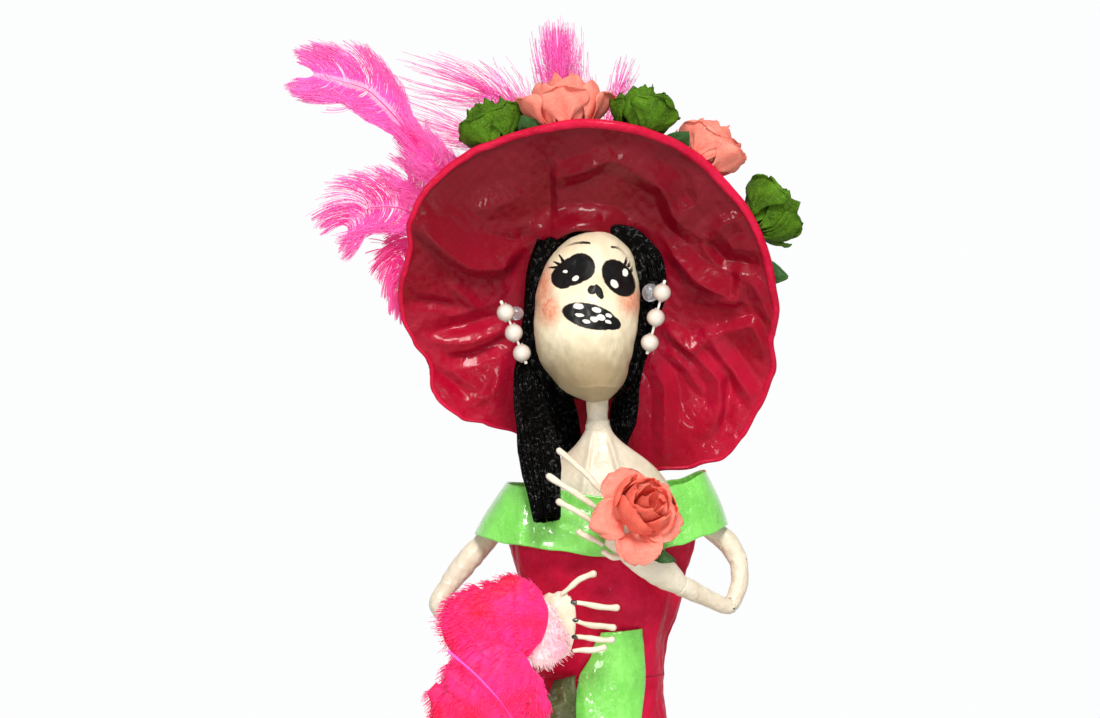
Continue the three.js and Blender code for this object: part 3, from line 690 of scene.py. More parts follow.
# %% Front strip
strip_middle = through([(26, 4), (150, 3.6), (205, 4.3), (215, 6.3), (221.5, 7.5)])
strip_half = through([(26, 16), (110, 11.5), (190, 10.8), (205, 11), (215, 8.6), (221.5, 6.8)])
strip_stand = through([(26, 2.2), (190, 3.4), (221.5, 1.2)])
STRIP_LOW, STRIP_TOP = 26, 221.5
v, u = grid(200, 50)
strip_z = STRIP_LOW + (STRIP_TOP - STRIP_LOW) * v + 0.8 * (u - 0.5) * step(v, 0.9, 1)
side = 2 * u - 1
strip_x = strip_middle(strip_z) + strip_half(strip_z) * side
level = dress_level(np.minimum(strip_z, BUST_Z))
front_y = level[..., 1] * np.sqrt(1 - np.clip(strip_x / level[..., 0], -0.97, 0.97) ** 2)
strip_y = front_y + strip_stand(strip_z) + 2.2 * (1 - side**2)
strip_y += 0.35 * creases(strip_x, strip_z, 13) + 0.1 * ripples(strip_x, strip_z, 4)
strip = np.stack([strip_x, -strip_y, strip_z], -1)
paper_piece("front_strip", strip, 0.7, GREEN, "green_paper", replaces=["front_panel"])

# %% Fold at the hip
# The fold is the green paper in shadow; its dark olive colour is painted shade.
v, u = grid(60, 24)
fold_line = path([[-11.2, -20.2, 206.5], [-13.3, -25.5, 196], [-13, -30, 180], [-11.5, -31.5, 162]], 60)
fold_half = through([(0, 3.6), (0.2, 5.4), (0.7, 5), (1, 1)])(v[:, 0])
fold = fold_line[:, None] + (2 * u - 1)[..., None] * fold_half[:, None, None] * np.array([1, 0.15, 0.25])
fold[..., 1] -= 1.2 * np.cos(2.2 * (2 * u - 1)) + 0.9 * creases(fold[..., 0], fold[..., 2], 6)
paper_piece("hip_paper", fold[:, ::-1], 0.7, GREEN_IN_PAINTED_SHADE, "green_paper", replaces=["hip_fold"])

# %% Shoulder strip
lower_edge = through([
    (-42, 252.3), (-28, 249.9), (-14, 248.2), (0, 246.4), (9, 245.7), (26, 249.8), (35, 252.6), (44, 255.7),
])
upper_edge = through([
    (-32, 269.3), (-25, 268.6), (-14, 267.6), (4, 265.6), (16, 266.6), (26, 269.4), (37, 273.4),
])
v, u = grid(34, 240)
a = 2 * np.pi * u
bow = np.sign(np.sin(a)) * np.abs(np.sin(a)) ** 0.72
wide = 42.2 + (33.2 - 42.2) * v + 0.8 * np.sin(np.pi * v)
deep = 25.4 + (21.3 - 25.4) * v
shoulder_x = 1 + 1.6 * v + wide * np.cos(a)
shoulder_z = lower_edge(shoulder_x) * (1 - v) + upper_edge(shoulder_x) * v
crumple = 0.55 * creases(40 * a, 3 * shoulder_z, 30, layers=4) + 0.16 * ripples(40 * a, shoulder_z, 6)
dent = -1.0 * hump(shoulder_x, -21.5, 2.4) * (bow < 0) + 0.8 * hump(shoulder_x, -25.5, 1.6) * (bow < 0)
shoulder = np.stack([shoulder_x, (deep + crumple + dent) * bow, shoulder_z], -1)
ring_piece("shoulder_strip", shoulder, 0.7, GREEN, "green_paper", replaces=["shoulder_band"])

# %% [markdown]
# ## Chest and neck
#
# Bare bone shows above the shoulder strip: a thin neck, two cords running down from it, and collar bones
# under tight paper. Each ridge is a hump of height along a straight line across the chest, added to the
# front of an oval body. That is how a paper maker does it too, with a rolled strip under the top layer.

# %% Chest
CHEST_LOW, CHEST_TOP = 254, 290
v, u = grid(120, 180)
chest_z = CHEST_LOW + (CHEST_TOP - CHEST_LOW) * v
a = 2 * np.pi * u
slope = 1 - np.exp(-(((CHEST_TOP - chest_z) / 16.5) ** 2.2))
chest_x = 1.6 * hump(chest_z, 277, 6) + (3.8 + 23.4 * slope) * np.cos(a)
chest_y = (3.7 + 9.2 * slope) * np.sin(a)
drop = CHEST_TOP - 1 - chest_z
ridges = sum(
    height * hump(chest_x - (start + lean * drop), 0, spread)
    for start, lean, spread, height in (
        (-1.6, -0.16, 0.9, 0.9), (2.4, 0.27, 1.0, 1.1), (-2.4, -0.98, 1.3, 0.9), (3.0, 1.12, 1.3, 1.1),
    )
)
ridges *= step(drop, 1, 7)
chest_y -= (ridges + 0.14 * creases(chest_x, chest_z, 9) * step(drop, 1, 5)) * step(-np.sin(a), 0, 0.3)
chest_points = np.stack([chest_x, chest_y, chest_z], -1)[:, :-1]
poles = [chest_points[:1] * [0, 0, 1], chest_points, chest_points[-1:] * [0, 0, 1]]
solid_piece("chest", [np.concatenate(poles)], BONE, "bone_paint", replaces=["chest_form"])

# %% Neck
neck_line = path([[0, 0, 283.5], [-0.2, 0, 290], [-0.2, 0.2, 297], [0, 0.6, 304]], 50)
neck_half = through([(0, 3.9), (0.24, 3.95), (0.27, 3.75), (0.6, 3.8), (1, 4.4)])(np.linspace(0, 1, 50))
neck = tube(neck_line, neck_half, sides=40, lumps=0.03)
solid_piece("neck", [neck], BONE, "bone_paint", replaces=["neck_tube"])

# %% [markdown]
# ## Head
#
# A head of pasted paper is a smooth egg, broad at the brow and narrow at the chin, and it leans far back.
# Each level along its own axis is an oval with its own centre, and the whole is then turned back about the
# ear line. Low humps raise the nose and cheeks and sink the two eye hollows, before the paint goes on.

# %% Head surface
HEAD_CENTRE = np.array([0, -1.0, 324.5])
HEAD_LEAN = np.radians(28)
HEAD_HALF = 30.6
BROW = 4.0
head_middle = through([
    (-30.6, -0.8), (-24, -2.6), (-15, -4.3), (-5, -4.2), (4.5, -3.5), (14, -2.7), (24, -1.4), (30.6, -0.6),
])


def head_level(h):
    """Egg shape: half sizes times sqrt(1 - t^2.4), where t runs from 0 at the brow to 1 at chin or crown."""
    t = np.where(h < BROW, (BROW - h) / (HEAD_HALF + BROW), (h - BROW) / (HEAD_HALF - BROW))
    swell = np.sqrt(np.clip(1 - np.clip(t, 0, 1) ** 2.4, 0, 1))
    return np.stack([head_middle(h), 17.5 * swell, 17.9 * swell], -1)


def head_point(h, a, grow=0.0):
    """A point of the head: an oval of half axes (width, depth) + grow at h, leant back about the X axis."""
    level = head_level(h)
    share = np.clip(np.minimum(level[..., 1], level[..., 2]) / 4, 0, 1)
    x = level[..., 0] + (level[..., 1] + grow * share) * np.cos(a)
    y = (level[..., 2] + grow * share) * np.sin(a)
    up = h * (1 + grow * (1 - share) / HEAD_HALF)
    lean_y = y * np.cos(HEAD_LEAN) + up * np.sin(HEAD_LEAN)
    lean_z = -y * np.sin(HEAD_LEAN) + up * np.cos(HEAD_LEAN)
    return np.stack([x, lean_y, lean_z], -1) + HEAD_CENTRE


v, u = grid(190, 220)
head_h = -HEAD_HALF * np.cos(np.pi * v)
head_a = 2 * np.pi * u
plain = head_point(head_h, head_a)
hx, hz, front = plain[..., 0], plain[..., 2], step(-np.sin(head_a), -0.1, 0.3)


def face_hump(x, z, wide, high):
    """A round hump on the front of the face, centred at (x, z)."""
    return hump(hx, x, wide) * hump(hz, z, high) * front


relief = -0.9 * face_hump(-8.8, 339, 5, 3.8) - 0.9 * face_hump(6.8, 337, 4.2, 4.6)
relief += 0.8 * face_hump(-1.2, 333.5, 2.2, 2.6) + 0.45 * face_hump(-3, 324, 8, 5)
relief += 0.5 * face_hump(-14, 329, 4, 5) + 0.5 * face_hump(8.5, 328, 3.6, 5)
relief += 0.28 * hump(hz + 0.06 * np.abs(hx), 301.2, 0.5) * step(hx, -9.5, -7) * step(-hx, -7.5, -5) * front
relief += 0.10 * ripples(hx * 1.2, hz, 9) + 0.05 * ripples(hx * 2, hz, 3)
head_points = head_point(head_h, head_a, relief)[:, :-1]
print("head is", np.ptp(head_points[..., 2]).round(1), "mm tall as it leans")

# %% [markdown]
# ## Painting the face with ovals and strokes
#
# A brush leaves ovals and strokes, so two tiny node groups are enough to paint the whole face. The oval
# group divides the distance from a centre by two half sizes; the stroke group measures the distance to a
# segment. Lists of numbers place every mark, in millimetres, as seen from straight in front of her.

# %% Paint groups
# a half size along Y that is so large that the depth of a point doesn't count
ANY_DEPTH = 1e6


def make_oval_group():
    """1 inside an oval and 0 outside: the turned offset is divided by the half sizes and its length taken."""
    tree, given, out = new_group(
        "paint_oval",
        {
            "Point": (VECTOR, (0, 0, 0)),
            "Centre": (VECTOR, (0, 0, 0)),
            "Half size": (VECTOR, (1, ANY_DEPTH, 1)),
            "Turn": (FLOAT, 0.0),
            "Softness": (FLOAT, 0.05),
        },
        {"Mask": FLOAT},
    )
    offset = add(tree, "VectorMath", {0: given["Point"], 1: given["Centre"]}, operation="SUBTRACT").outputs[0]
    spin = {"Vector": offset, "Angle": given["Turn"]}
    turned = add(tree, "VectorRotate", spin, rotation_type="Y_AXIS").outputs[0]
    share = add(tree, "VectorMath", {0: turned, 1: given["Half size"]}, operation="DIVIDE").outputs[0]
    length = add(tree, "VectorMath", {0: share}, operation="LENGTH").outputs["Value"]
    inner, outer = calc(tree, "SUBTRACT", 1, given["Softness"]), calc(tree, "ADD", 1, given["Softness"])
    tree.links.new(remap(tree, length, inner, outer, 1.0, 0.0), out["Mask"])
    return tree


def make_stroke_group():
    """1 on a stroke from Start to End: the distance to its nearest point is held against Half width."""
    tree, given, out = new_group(
        "paint_stroke",
        {
            "Point": (VECTOR, (0, 0, 0)),
            "Start": (VECTOR, (0, 0, 0)),
            "End": (VECTOR, (0, 0, 1)),
            "Half width": (FLOAT, 0.3),
            "Taper": (FLOAT, 0.0),
        },
        {"Mask": FLOAT},
    )
    run = add(tree, "VectorMath", {0: given["End"], 1: given["Start"]}, operation="SUBTRACT").outputs[0]
    away = add(tree, "VectorMath", {0: given["Point"], 1: given["Start"]}, operation="SUBTRACT").outputs[0]
    dots = [
        add(tree, "VectorMath", {0: one, 1: run}, operation="DOT_PRODUCT").outputs["Value"]
        for one in (away, run)
    ]
    share = add(tree, "Math", {0: dots[0], 1: dots[1]}, operation="DIVIDE", use_clamp=True).outputs[0]
    on_line = add(tree, "VectorMath", {0: run, "Scale": share}, operation="SCALE").outputs[0]
    length = add(tree, "VectorMath", {0: away, 1: on_line}, operation="DISTANCE").outputs["Value"]
    left = calc(tree, "SUBTRACT", 1, calc(tree, "MULTIPLY", share, given["Taper"]))
    half = calc(tree, "MULTIPLY", given["Half width"], left)
    edge = calc(tree, "ADD", half, 0.1)
    tree.links.new(remap(tree, length, calc(tree, "SUBTRACT", half, 0.06), edge, 1.0, 0.0), out["Mask"])
    return tree


oval_group, stroke_group = make_oval_group(), make_stroke_group()

# %% [markdown]
# Each row below is one touch of the brush. The black of the eyes, nose and mouth comes first, then the
# bone-coloured glints and teeth on top of it. The blush is three wide ovals with very soft edges.

# %% The marks of the face
# centre x, centre z, half width, half height, turn in degrees
BLACK_OVALS = [
    (-8.4, 339.2, 7.2, 4.7, 25), (-6.0, 340.5, 4.9, 4.8, 0), (-11.8, 337.1, 3.9, 3.8, 0),
    (6.7, 337.0, 7.0, 4.8, -52), (-2.2, 332.9, 1.6, 1.5, 40), (0.0, 332.3, 2.6, 1.2, -65),
    (-3.1, 324.2, 9.2, 4.1, -14), (1.9, 322.9, 5.6, 2.7, -20),
]
WHITE_OVALS = [
    (-11.0, 339.1, 0.75, 0.5, 0), (-7.65, 336.8, 1.2, 0.85, 35), (8.9, 338.9, 0.95, 1.3, 0),
    (5.2, 335.0, 1.55, 1.1, -50), (-6.7, 327.5, 1.7, 0.95, -6), (-0.8, 326.3, 1.6, 0.8, -14),
    (3.2, 324.5, 1.1, 0.65, -20), (-6.4, 324.6, 1.5, 0.55, -6), (-1.6, 323.2, 1.3, 0.9, -14),
    (3.0, 322.4, 1.1, 0.55, -20), (-4.2, 322.5, 1.3, 0.65, -14), (0.6, 323.8, 1.4, 1.0, -14),
]
BLUSH_OVALS = [(-18.6, 334.6, 3.0, 7.5, 0), (-16.6, 326.6, 3.4, 4.6, 0), (10.9, 329.4, 4.4, 4.2, 0)]
# the points of each brow, as x and z
BROWS = [
    [(-15.2, 344.9), (-13.3, 346.9), (-10.7, 348.1), (-7.5, 348.8), (-5.0, 349.0), (-2.9, 348.7)],
    [(9.9, 344.1), (9.4, 344.9), (8.1, 346.3), (6.5, 347.3), (4.6, 347.5)],
]
# start x, start z, end x, end z
LASHES = [
    (-11.8, 342.8, -12.9, 344.8), (-12.6, 341.4, -14.8, 342.6), (-13.4, 340.6, -16.4, 340.6),
    (9.0, 342.0, 9.6, 344.6), (10.1, 341.2, 11.0, 343.3), (10.9, 339.6, 11.9, 341.8),
]
BROW_HALF, LASH_HALF = 0.38, 0.56
STROKES = [(*a, *b, BROW_HALF) for brow in BROWS for a, b in zip(brow, brow[1:])]
STROKES += [(*lash, LASH_HALF) for lash in LASHES]


def spot_flat(tree, point):
    """The point with its Y taken away, so a stroke is measured as seen from the front."""
    return add(tree, "VectorMath", {0: point, 1: (1, 0, 1)}, operation="MULTIPLY").outputs[0]


def face_finish():
    """Bone paint with painted shade under the jaw, blush, black marks and glints; marks and glints keep to
    the front by their Y.
    """
    material = paper_finish(
        "painted_face", (0.90, 0.80, 0.58), (0.82, 0.69, 0.46), (0.92, 0.86, 0.70),
        cloud=70, fibre=1300, share=0.4, gloss=(0.35, 0.55), relief=0.1,
        Specular_IOR_Level=0.3, Coat_Weight=0.08, Coat_Roughness=0.15,
    )
    tree = material.node_tree
    shader = tree.nodes["Principled BSDF"]
    paper = tree.nodes["Group"].outputs["Colour"]
    spot = add(tree, "TexCoord").outputs["Object"]
    spot = add(tree, "VectorMath", {0: spot, "Scale": 1000.0}, operation="SCALE").outputs[0]
    wobble = add(tree, "TexNoise", {"Vector": spot, "Scale": 0.9, "Detail": 2.0}).outputs["Color"]
    wobble = add(tree, "VectorMath", {0: wobble, 1: (0.5, 0.5, 0.5)}, operation="SUBTRACT").outputs[0]
    wobble = add(tree, "VectorMath", {0: wobble, "Scale": 0.55}, operation="SCALE").outputs[0]
    point = add(tree, "VectorMath", {0: spot, 1: wobble}, operation="ADD").outputs[0]

    def ovals(rows, softness):
        """The largest mask of a list of ovals."""
        best = 0.0
        for x, z, wide, high, degrees in rows:
            marks = {"Point": point, "Centre": (x, 0, z), "Half size": (wide, ANY_DEPTH, high)}
            marks |= {"Turn": np.radians(degrees), "Softness": softness}
            best = calc(tree, "MAXIMUM", best, add(tree, "Group", marks, node_tree=oval_group).outputs[0])
        return best

    black = ovals(BLACK_OVALS, 0.04)
    for x0, z0, x1, z1, half in STROKES:
        marks = {"Point": spot_flat(tree, point), "Start": (x0, 0, z0), "End": (x1, 0, z1)}
        marks |= {"Half width": half, "Taper": 0.6 if half == LASH_HALF else 0.0}
        black = calc(tree, "MAXIMUM", black, add(tree, "Group", marks, node_tree=stroke_group).outputs[0])
    front = remap(tree, add(tree, "SeparateXYZ", {0: spot}).outputs["Y"], -5, -1, 1.0, 0.0)
    speckle = remap(tree, noise(tree, spot, 0.8, 3), 0.3, 0.7, 0.45, 1.0)
    blush = calc(tree, "MULTIPLY", calc(tree, "MULTIPLY", ovals(BLUSH_OVALS, 0.8), speckle), 0.85)
    # Painted shade: below a ragged height the paint turns dull brown, standing for the shade under the chin.
    height = add(tree, "SeparateXYZ", {0: spot}).outputs["Z"]
    patchy = calc(tree, "ADD", height, calc(tree, "MULTIPLY", noise(tree, spot, 0.16, 4), 12))
    jaw_painted_shade = remap(tree, patchy, 312, 327, 0.85, 0.0)
    paper = mix(tree, jaw_painted_shade, paper, (0.33, 0.235, 0.115, 1))
    colour = mix(tree, blush, paper, (0.86, 0.16, 0.06, 1))
    colour = mix(tree, calc(tree, "MULTIPLY", black, front), colour, (0.004, 0.004, 0.004, 1))
    colour = mix(tree, calc(tree, "MULTIPLY", ovals(WHITE_OVALS, 0.1), front), colour, (0.88, 0.84, 0.74, 1))
    tree.links.new(colour, shader.inputs["Base Color"])
    return material


FACE = face_finish()
solid_piece("head_painted", [head_points], FACE, "bone_paint", replaces=["head"])

# %% [markdown]
# ## The hat
#
# The brim is a wide plate of lacquered paper, tipped back behind the head. Four things shape it: its
# uneven outline, a shallow dish that turns the rim forwards, a lip that stands forward over the hair, and
# long folds. Each fold is a tent-shaped ridge along a listed line, steeper on one side, so light
# breaks along it as it does on a real crease.

# %% Hat frame
HAT_CENTRE = np.array([-3.3, 18.5, 331.3])
HAT_TIP = np.radians(22.6)
ACROSS = np.array([1.0, 0, 0])
UPWARD = np.array([0, -np.sin(HAT_TIP), np.cos(HAT_TIP)])
UNDER = np.array([0, -np.cos(HAT_TIP), -np.sin(HAT_TIP)])
HOLE, BRIM_INNER = 26.0, 20.5

rim_rows = [
    (8, 62.9), (20, 62.8), (32, 62.8), (42, 62.3), (55, 63.2), (67, 64.2), (77, 64.7), (89, 64.9),
    (107, 64.2), (117, 64.6), (127, 66.3), (135.5, 67.4), (144, 68.1), (152, 67.1), (162, 63.4),
    (176, 63.8), (184, 63.3), (194, 61.1), (202, 58.8), (212, 61.7), (223, 59.9), (231.5, 55.8),
    (243, 53.4), (262, 56.5), (280, 61.5), (292, 65.8), (303, 70.4), (311, 73.8), (317, 72.9),
    (326.5, 70.9), (337, 69.0), (350, 64.3), (357, 64.2),
]
rim_radius = through(
    [(d - 360, r) for d, r in rim_rows[-4:]] + rim_rows + [(d + 360, r) for d, r in rim_rows[:4]]
)


def brim_dish(share, a):
    """How far the plain brim turns forwards in direction a, at a share of the way from hole to rim."""
    return 7 * share**1.5 + 2.2 * share * np.sin(5 * a + 0.6)


def hat_point(p, q, height):
    """A point of the hat's plane: centre + ACROSS * p + UPWARD * q, moved `height` towards the front."""
    return HAT_CENTRE + p[..., None] * ACROSS + q[..., None] * UPWARD + height[..., None] * UNDER


def ridge(x, z, points, height, left, right):
    """A tent along a line: full height on it, nothing `left` millimetres to one side or `right` to the other.

    Each point of the surface takes its nearest point of the line; both ends of the line taper off.
    """
    line = path([(px, 0, pz) for px, pz in points], 48)[:, ::2]
    side = np.stack([-np.gradient(line[:, 1]), np.gradient(line[:, 0])], -1)
    away = np.stack([x, z], -1)[..., None, :] - line
    gap = np.linalg.norm(away, axis=-1)
    near = gap.argmin(-1)
    off = np.take_along_axis(away, near[..., None, None], -2)[..., 0, :]
    reach = np.where((off * side[near]).sum(-1) > 0, left, right)
    share = np.clip(1 - gap.min(-1) / reach, 0, 1)
    ends = np.sin(np.pi * np.clip(near / 47, 0.02, 0.98)) ** 0.45
    return height * ends * share


# the line as (x, z) seen from the front, height, reach on its left, reach on its right
BRIM_FOLDS = [
    ([(-62, 356.5), (-53.5, 349.7), (-42.4, 342.3), (-30.7, 342.3), (-22, 346.6)], 3.4, 15, 4),
    ([(-49.2, 335), (-44.5, 331.5), (-40.5, 327)], 1.2, 3, 3),
    ([(-63, 329.5), (-55, 329), (-47.3, 327.5)], -1.6, 3, 2.5),
    ([(-56, 319.4), (-46, 321), (-33, 325)], -2.2, 4.5, 2.2),
    ([(-57, 316.5), (-44, 317), (-30, 321.5)], 1.8, 3, 5),
    ([(-51, 310), (-42, 311.8), (-30.7, 317.7)], -2.2, 2.4, 4),
    ([(-57, 308), (-50, 302), (-43, 296.7)], -1.6, 3.4, 2.2),
    ([(-42, 296.5), (-38.7, 297.5), (-34.5, 302.5)], 1.5, 2.4, 3.4),
    ([(-33, 309), (-35.6, 293)], 1.3, 4, 3),
    ([(-16.4, 376), (-16.2, 366), (-15.6, 356)], -1.6, 2.6, 6),
    ([(-16, 370.3), (-6, 373), (4, 376), (10, 374)], 1.9, 5, 4),
    ([(10.7, 373.3), (21.8, 367), (25.5, 359), (31.5, 353.2)], 2.6, 7, 4),
    ([(31.5, 371), (33, 363), (27, 360)], 1.2, 5, 4),
    ([(25.5, 346.1), (33, 338.3), (46.4, 330.9)], 3.2, 6, 3),
    ([(33, 332.2), (46.4, 331.3), (48, 340.5)], 1.4, 2.2, 3),
    ([(37.5, 350), (42.7, 343.5), (54.6, 341.3)], -2.4, 5, 2.6),
    ([(37, 349), (42.7, 356.2), (50, 358)], 1.5, 3, 5),
    ([(48.6, 339), (52.3, 335.3), (59, 322.7)], 1.9, 3.4, 3.4),
    ([(22.6, 321.9), (33, 315.2), (37.5, 317.5)], 2.0, 4, 3),
    ([(37.5, 318.6), (45, 320.6), (51.6, 322.3), (57.5, 310.8)], 2.5, 3, 8),
    ([(37.5, 318.6), (46.4, 307.1), (53.8, 295.9)], 2.2, 5, 3.2),
    ([(28.5, 316.7), (41.9, 302.6), (42.7, 293.7), (38.2, 286.2)], 2.5, 4, 5),
    ([(18.8, 309.3), (22.6, 302.6), (23.3, 288), (23.3, 275)], 2.4, 5, 4),
    ([(24, 313.7), (30.7, 307.8), (36, 300)], 1.5, 3, 3),
    ([(45.4, 306.3), (44.6, 295), (44.4, 284)], -1.5, 3, 3),
    ([(14, 300), (12.5, 290), (13, 278)], 1.5, 4, 4),
    ([(-24, 366), (-34, 362), (-42, 360)], 1.2, 7, 7),
    ([(-20, 353), (-28, 350.5), (-36, 352.5)], -1.2, 5, 4),
    ([(-15, 352.5), (-8, 356.5), (2, 357)], 2.6, 3.4, 4),
]

# %% Brim
v, u = grid(76, 480)
brim_a = 2 * np.pi * u
rim = rim_radius(np.degrees(brim_a))
lip = hump(np.degrees(brim_a), 97, 27)
inner = BRIM_INNER + 5.6 * lip
brim_r = inner + (rim - inner) * v
way = np.clip((brim_r - HOLE) / (rim - HOLE), 0, 1)
p, q = brim_r * np.cos(brim_a), brim_r * np.sin(brim_a)
seen_x, seen_z = HAT_CENTRE[0] + p, HAT_CENTRE[2] + q * np.cos(HAT_TIP)
dish = brim_dish(way, brim_a)
seen_z -= dish * np.sin(HAT_TIP)
folds = 1.4 * sum(ridge(seen_x, seen_z, *row) for row in BRIM_FOLDS)
folds += 0.3 * creases(50 * brim_a, 0.45 * brim_r, 12) * (0.5 + 0.5 * way) + 0.22 * creases(p, q, 17)
folds += 0.08 * ripples(p, q, 4)
settle = step(way, 0, 0.12) * (1 - 0.55 * step(way, 0.9, 1))
over_hair = 8.5 * lip * step(35 - brim_r, 0, 10)
turned_in = 2.2 * lip * step(1.2 - brim_r + inner, 0, 1.2)
brim_height = dish + folds * settle + over_hair - turned_in
brim = hat_point(p, q, brim_height)
ring_piece("brim", brim[:, ::-1], 1.0, HAT_CRIMSON, "crimson_paper", replaces=["hat_brim"])

# %% Rolled rim
ROLL_STEPS, ROLL_SIDES = 400, 14
along = 2 * np.pi * np.linspace(0, 1, ROLL_STEPS, endpoint=False)
edge_h = np.interp(along, brim_a[-1], brim_height[-1])
edge_r = rim_radius(np.degrees(along))
thick = 0.6 + 0.85 * (0.5 + 0.5 * np.cos(along - np.radians(62))) ** 1.2
thick += 0.08 * np.sin(9 * along) + 0.05 * rng.standard_normal(ROLL_STEPS).cumsum() / 12
thick = np.clip(thick, 0.5, 1.75)
turn = np.linspace(0, 2 * np.pi, ROLL_SIDES, endpoint=False)[:, None]
roll_r = edge_r - 0.5 + 1.1 * thick * np.cos(turn)
roll_h = edge_h - 0.4 + thick * np.sin(turn) + 0.12 * ripples(60 * along + 0 * turn, 3 * turn, 5)
roll = hat_point(roll_r * np.cos(along), roll_r * np.sin(along), roll_h)
rim_faces = grid_quads(ROLL_SIDES, ROLL_STEPS, round_rows=True, round_columns=True)
rim_mesh = make_mesh("rim_roll", roll, [rim_faces])
seal(rim_mesh)
place("rim_roll", rim_mesh, CRIMSON, "crimson_paper", replaces=["hat_rim_roll"])

# %% Crown
crown_profile = through([
    (0, 29.6, -1), (0.3, 29, -12), (0.55, 27.4, -22), (0.78, 21.5, -29.3), (0.92, 11, -32.7), (1, 0, -33.2),
])
v, u = grid(64, 170)
profile = crown_profile(v)
crown_a = 2 * np.pi * u
crown_r = profile[..., 0] + 0.5 * creases(27 * crown_a, 30 * v, 11) * step(1 - v, 0, 0.25)
crown = hat_point(crown_r * np.cos(crown_a), crown_r * np.sin(crown_a), profile[..., 1])
CROWN_MIDDLE, CROWN_SHRINK = HAT_CENTRE - 14 * UNDER, 0.045
inside = crown[::-1] + (CROWN_MIDDLE - crown[::-1]) * CROWN_SHRINK
crown_sheet = np.concatenate([crown, inside])[:, :-1]
crown_faces = grid_quads(*crown_sheet.shape[:2], round_rows=True, round_columns=True)
crown_mesh = make_mesh("crown", crown_sheet, [crown_faces])
seal(crown_mesh)
place("crown", crown_mesh, HAT_CRIMSON, "crimson_paper", replaces=["hat_crown"])

# %% [markdown]
# ## Arms
#
# Each arm is wire wrapped in strips of paper and painted. Its section is a slightly uneven round that
# swells in the upper arm. A wrapped strip leaves a spiral step, which a sawtooth along the tube draws.

# %% Arms
def wrapped_arm(name, points, half_rows, **where):
    """A lumpy tube: half size times (1 + a spiral step + uneven swell), on a smooth path."""
    steps, sides = 220, 36
    line = path(points, steps)
    half = through(half_rows)(np.linspace(0, 1, steps))
    body = tube(line, half, half * 0.92, sides=sides, lumps=0.025)
    middle = line[:, None]
    turn = np.linspace(0, 2 * np.pi, sides, endpoint=False)
    walk = np.linspace(0, 1, steps)[:, None]
    spiral = (walk * 11 + turn / (2 * np.pi)) % 1
    body = middle + (body - middle) * (1 + 0.035 * (1 - spiral))[..., None]
    solid_piece(name, [body], BONE, "bone_paint", **where)


wrapped_arm(
    "arm_right_wrap",
    [[-29.5, 0, 260], [-35.8, -1.5, 251.5], [-42.4, -4, 244.4], [-48.8, -6.8, 236.4], [-52.8, -10, 229.5],
     [-49.9, -14.5, 225.9], [-37.5, -21, 225.6], [-25.7, -26.5, 225.7]],
    [(0, 3.2), (0.12, 3.3), (0.3, 3.8), (0.5, 2.9), (0.62, 2.7), (1, 3.2)], replaces=["arm_right"],
)
wrapped_arm(
    "arm_left_wrap",
    [[30.5, 0, 261.5], [36.4, -1.4, 254.6], [42.6, -2.8, 249.6], [46.4, -4.4, 243], [46.4, -6.8, 235.4],
     [43.3, -9.5, 229.5], [34.6, -14.5, 232.5], [25.5, -20.6, 237.2]],
    [(0, 3.0), (0.12, 3.1), (0.25, 3.5), (0.45, 2.9), (0.68, 2.7), (1, 3.4)], replaces=["arm_left"],
)

# %% [markdown]
# ## Hands
#
# The palms are flat pads of paper, and the fingers are stiff wires dipped in white. A finger is a thin tube
# that thickens towards its middle and ends in a small round bead of paint.

# %% Hands
def pad(name, points, wide_rows, thick_rows, lumps, **where):
    """A flat oval tube with its own width and thickness along the path."""
    share = np.linspace(0, 1, 70)
    line = path(points, 70)
    body = tube(line, through(wide_rows)(share), through(thick_rows)(share), sides=48, lumps=lumps, shut=0.35)
    solid_piece(name, [body], BONE, "bone_paint", **where)


pad(
    "palm_right_pad",
    [[-26.2, -26.2, 225.6], [-18.9, -29.2, 225.2], [-12.1, -30.6, 224.4], [-7.7, -31.1, 224]],
    [(0, 3.2), (0.25, 7.6), (0.65, 10.6), (1, 10)], [(0, 3), (0.4, 2.0), (1, 1.5)],
    0.07, replaces=["palm_right"],
)
pad(
    "palm_left_pad",
    [[26.8, -19.6, 236.3], [19.4, -25.6, 242.1], [12.5, -29.6, 248.7], [4.8, -31.9, 256.4]],
    [(0, 3.2), (0.25, 4.9), (0.65, 6.2), (1, 6.4)], [(0, 3.1), (0.4, 2.3), (1, 1.3)],
    0.02, replaces=["palm_left"],
)

FINGERS = {
    "finger_right_1": [[-12.7, -31.4, 234.4], [-7.3, -32.2, 239], [-1, -32.8, 241.7]],
    "finger_right_2": [[-8.5, -31.4, 232.1], [-1.6, -32.4, 231.1], [6.5, -33.2, 230.6]],
    "finger_right_3": [[-8.1, -31.4, 226.4], [-1.6, -32.2, 224.7], [5.4, -33, 224]],
    "finger_right_4": [[-8.2, -31.4, 221], [-1.6, -32.2, 220.5], [5, -33, 220.2]],
    "finger_right_5": [[-8.9, -31.4, 216.3], [-2.9, -32, 217], [2.3, -32.4, 217.8]],
    "finger_left_1": [[4.4, -32.8, 263.4], [-5.8, -35.2, 274.9], [-13.9, -36.6, 281.5]],
    "finger_left_2": [[2.5, -32.8, 259.4], [-8.9, -35.2, 268.2], [-17.3, -36, 273.3]],
    "finger_left_3": [[1.1, -33, 255], [-6.4, -34.8, 260.7], [-14.1, -35.8, 265.5]],
    "finger_left_4": [[1.3, -32.9, 250.4], [-3.5, -33.8, 253.1], [-7.6, -34.4, 255.5]],
    "thumb_left": [[8, -33, 245.9], [4, -34.6, 247.2], [0.4, -35.2, 248.9]],
}
finger_half = through([(0, 0.62), (0.14, 0.7), (0.45, 0.98), (0.8, 0.95), (0.93, 1.08), (1, 0.9)])
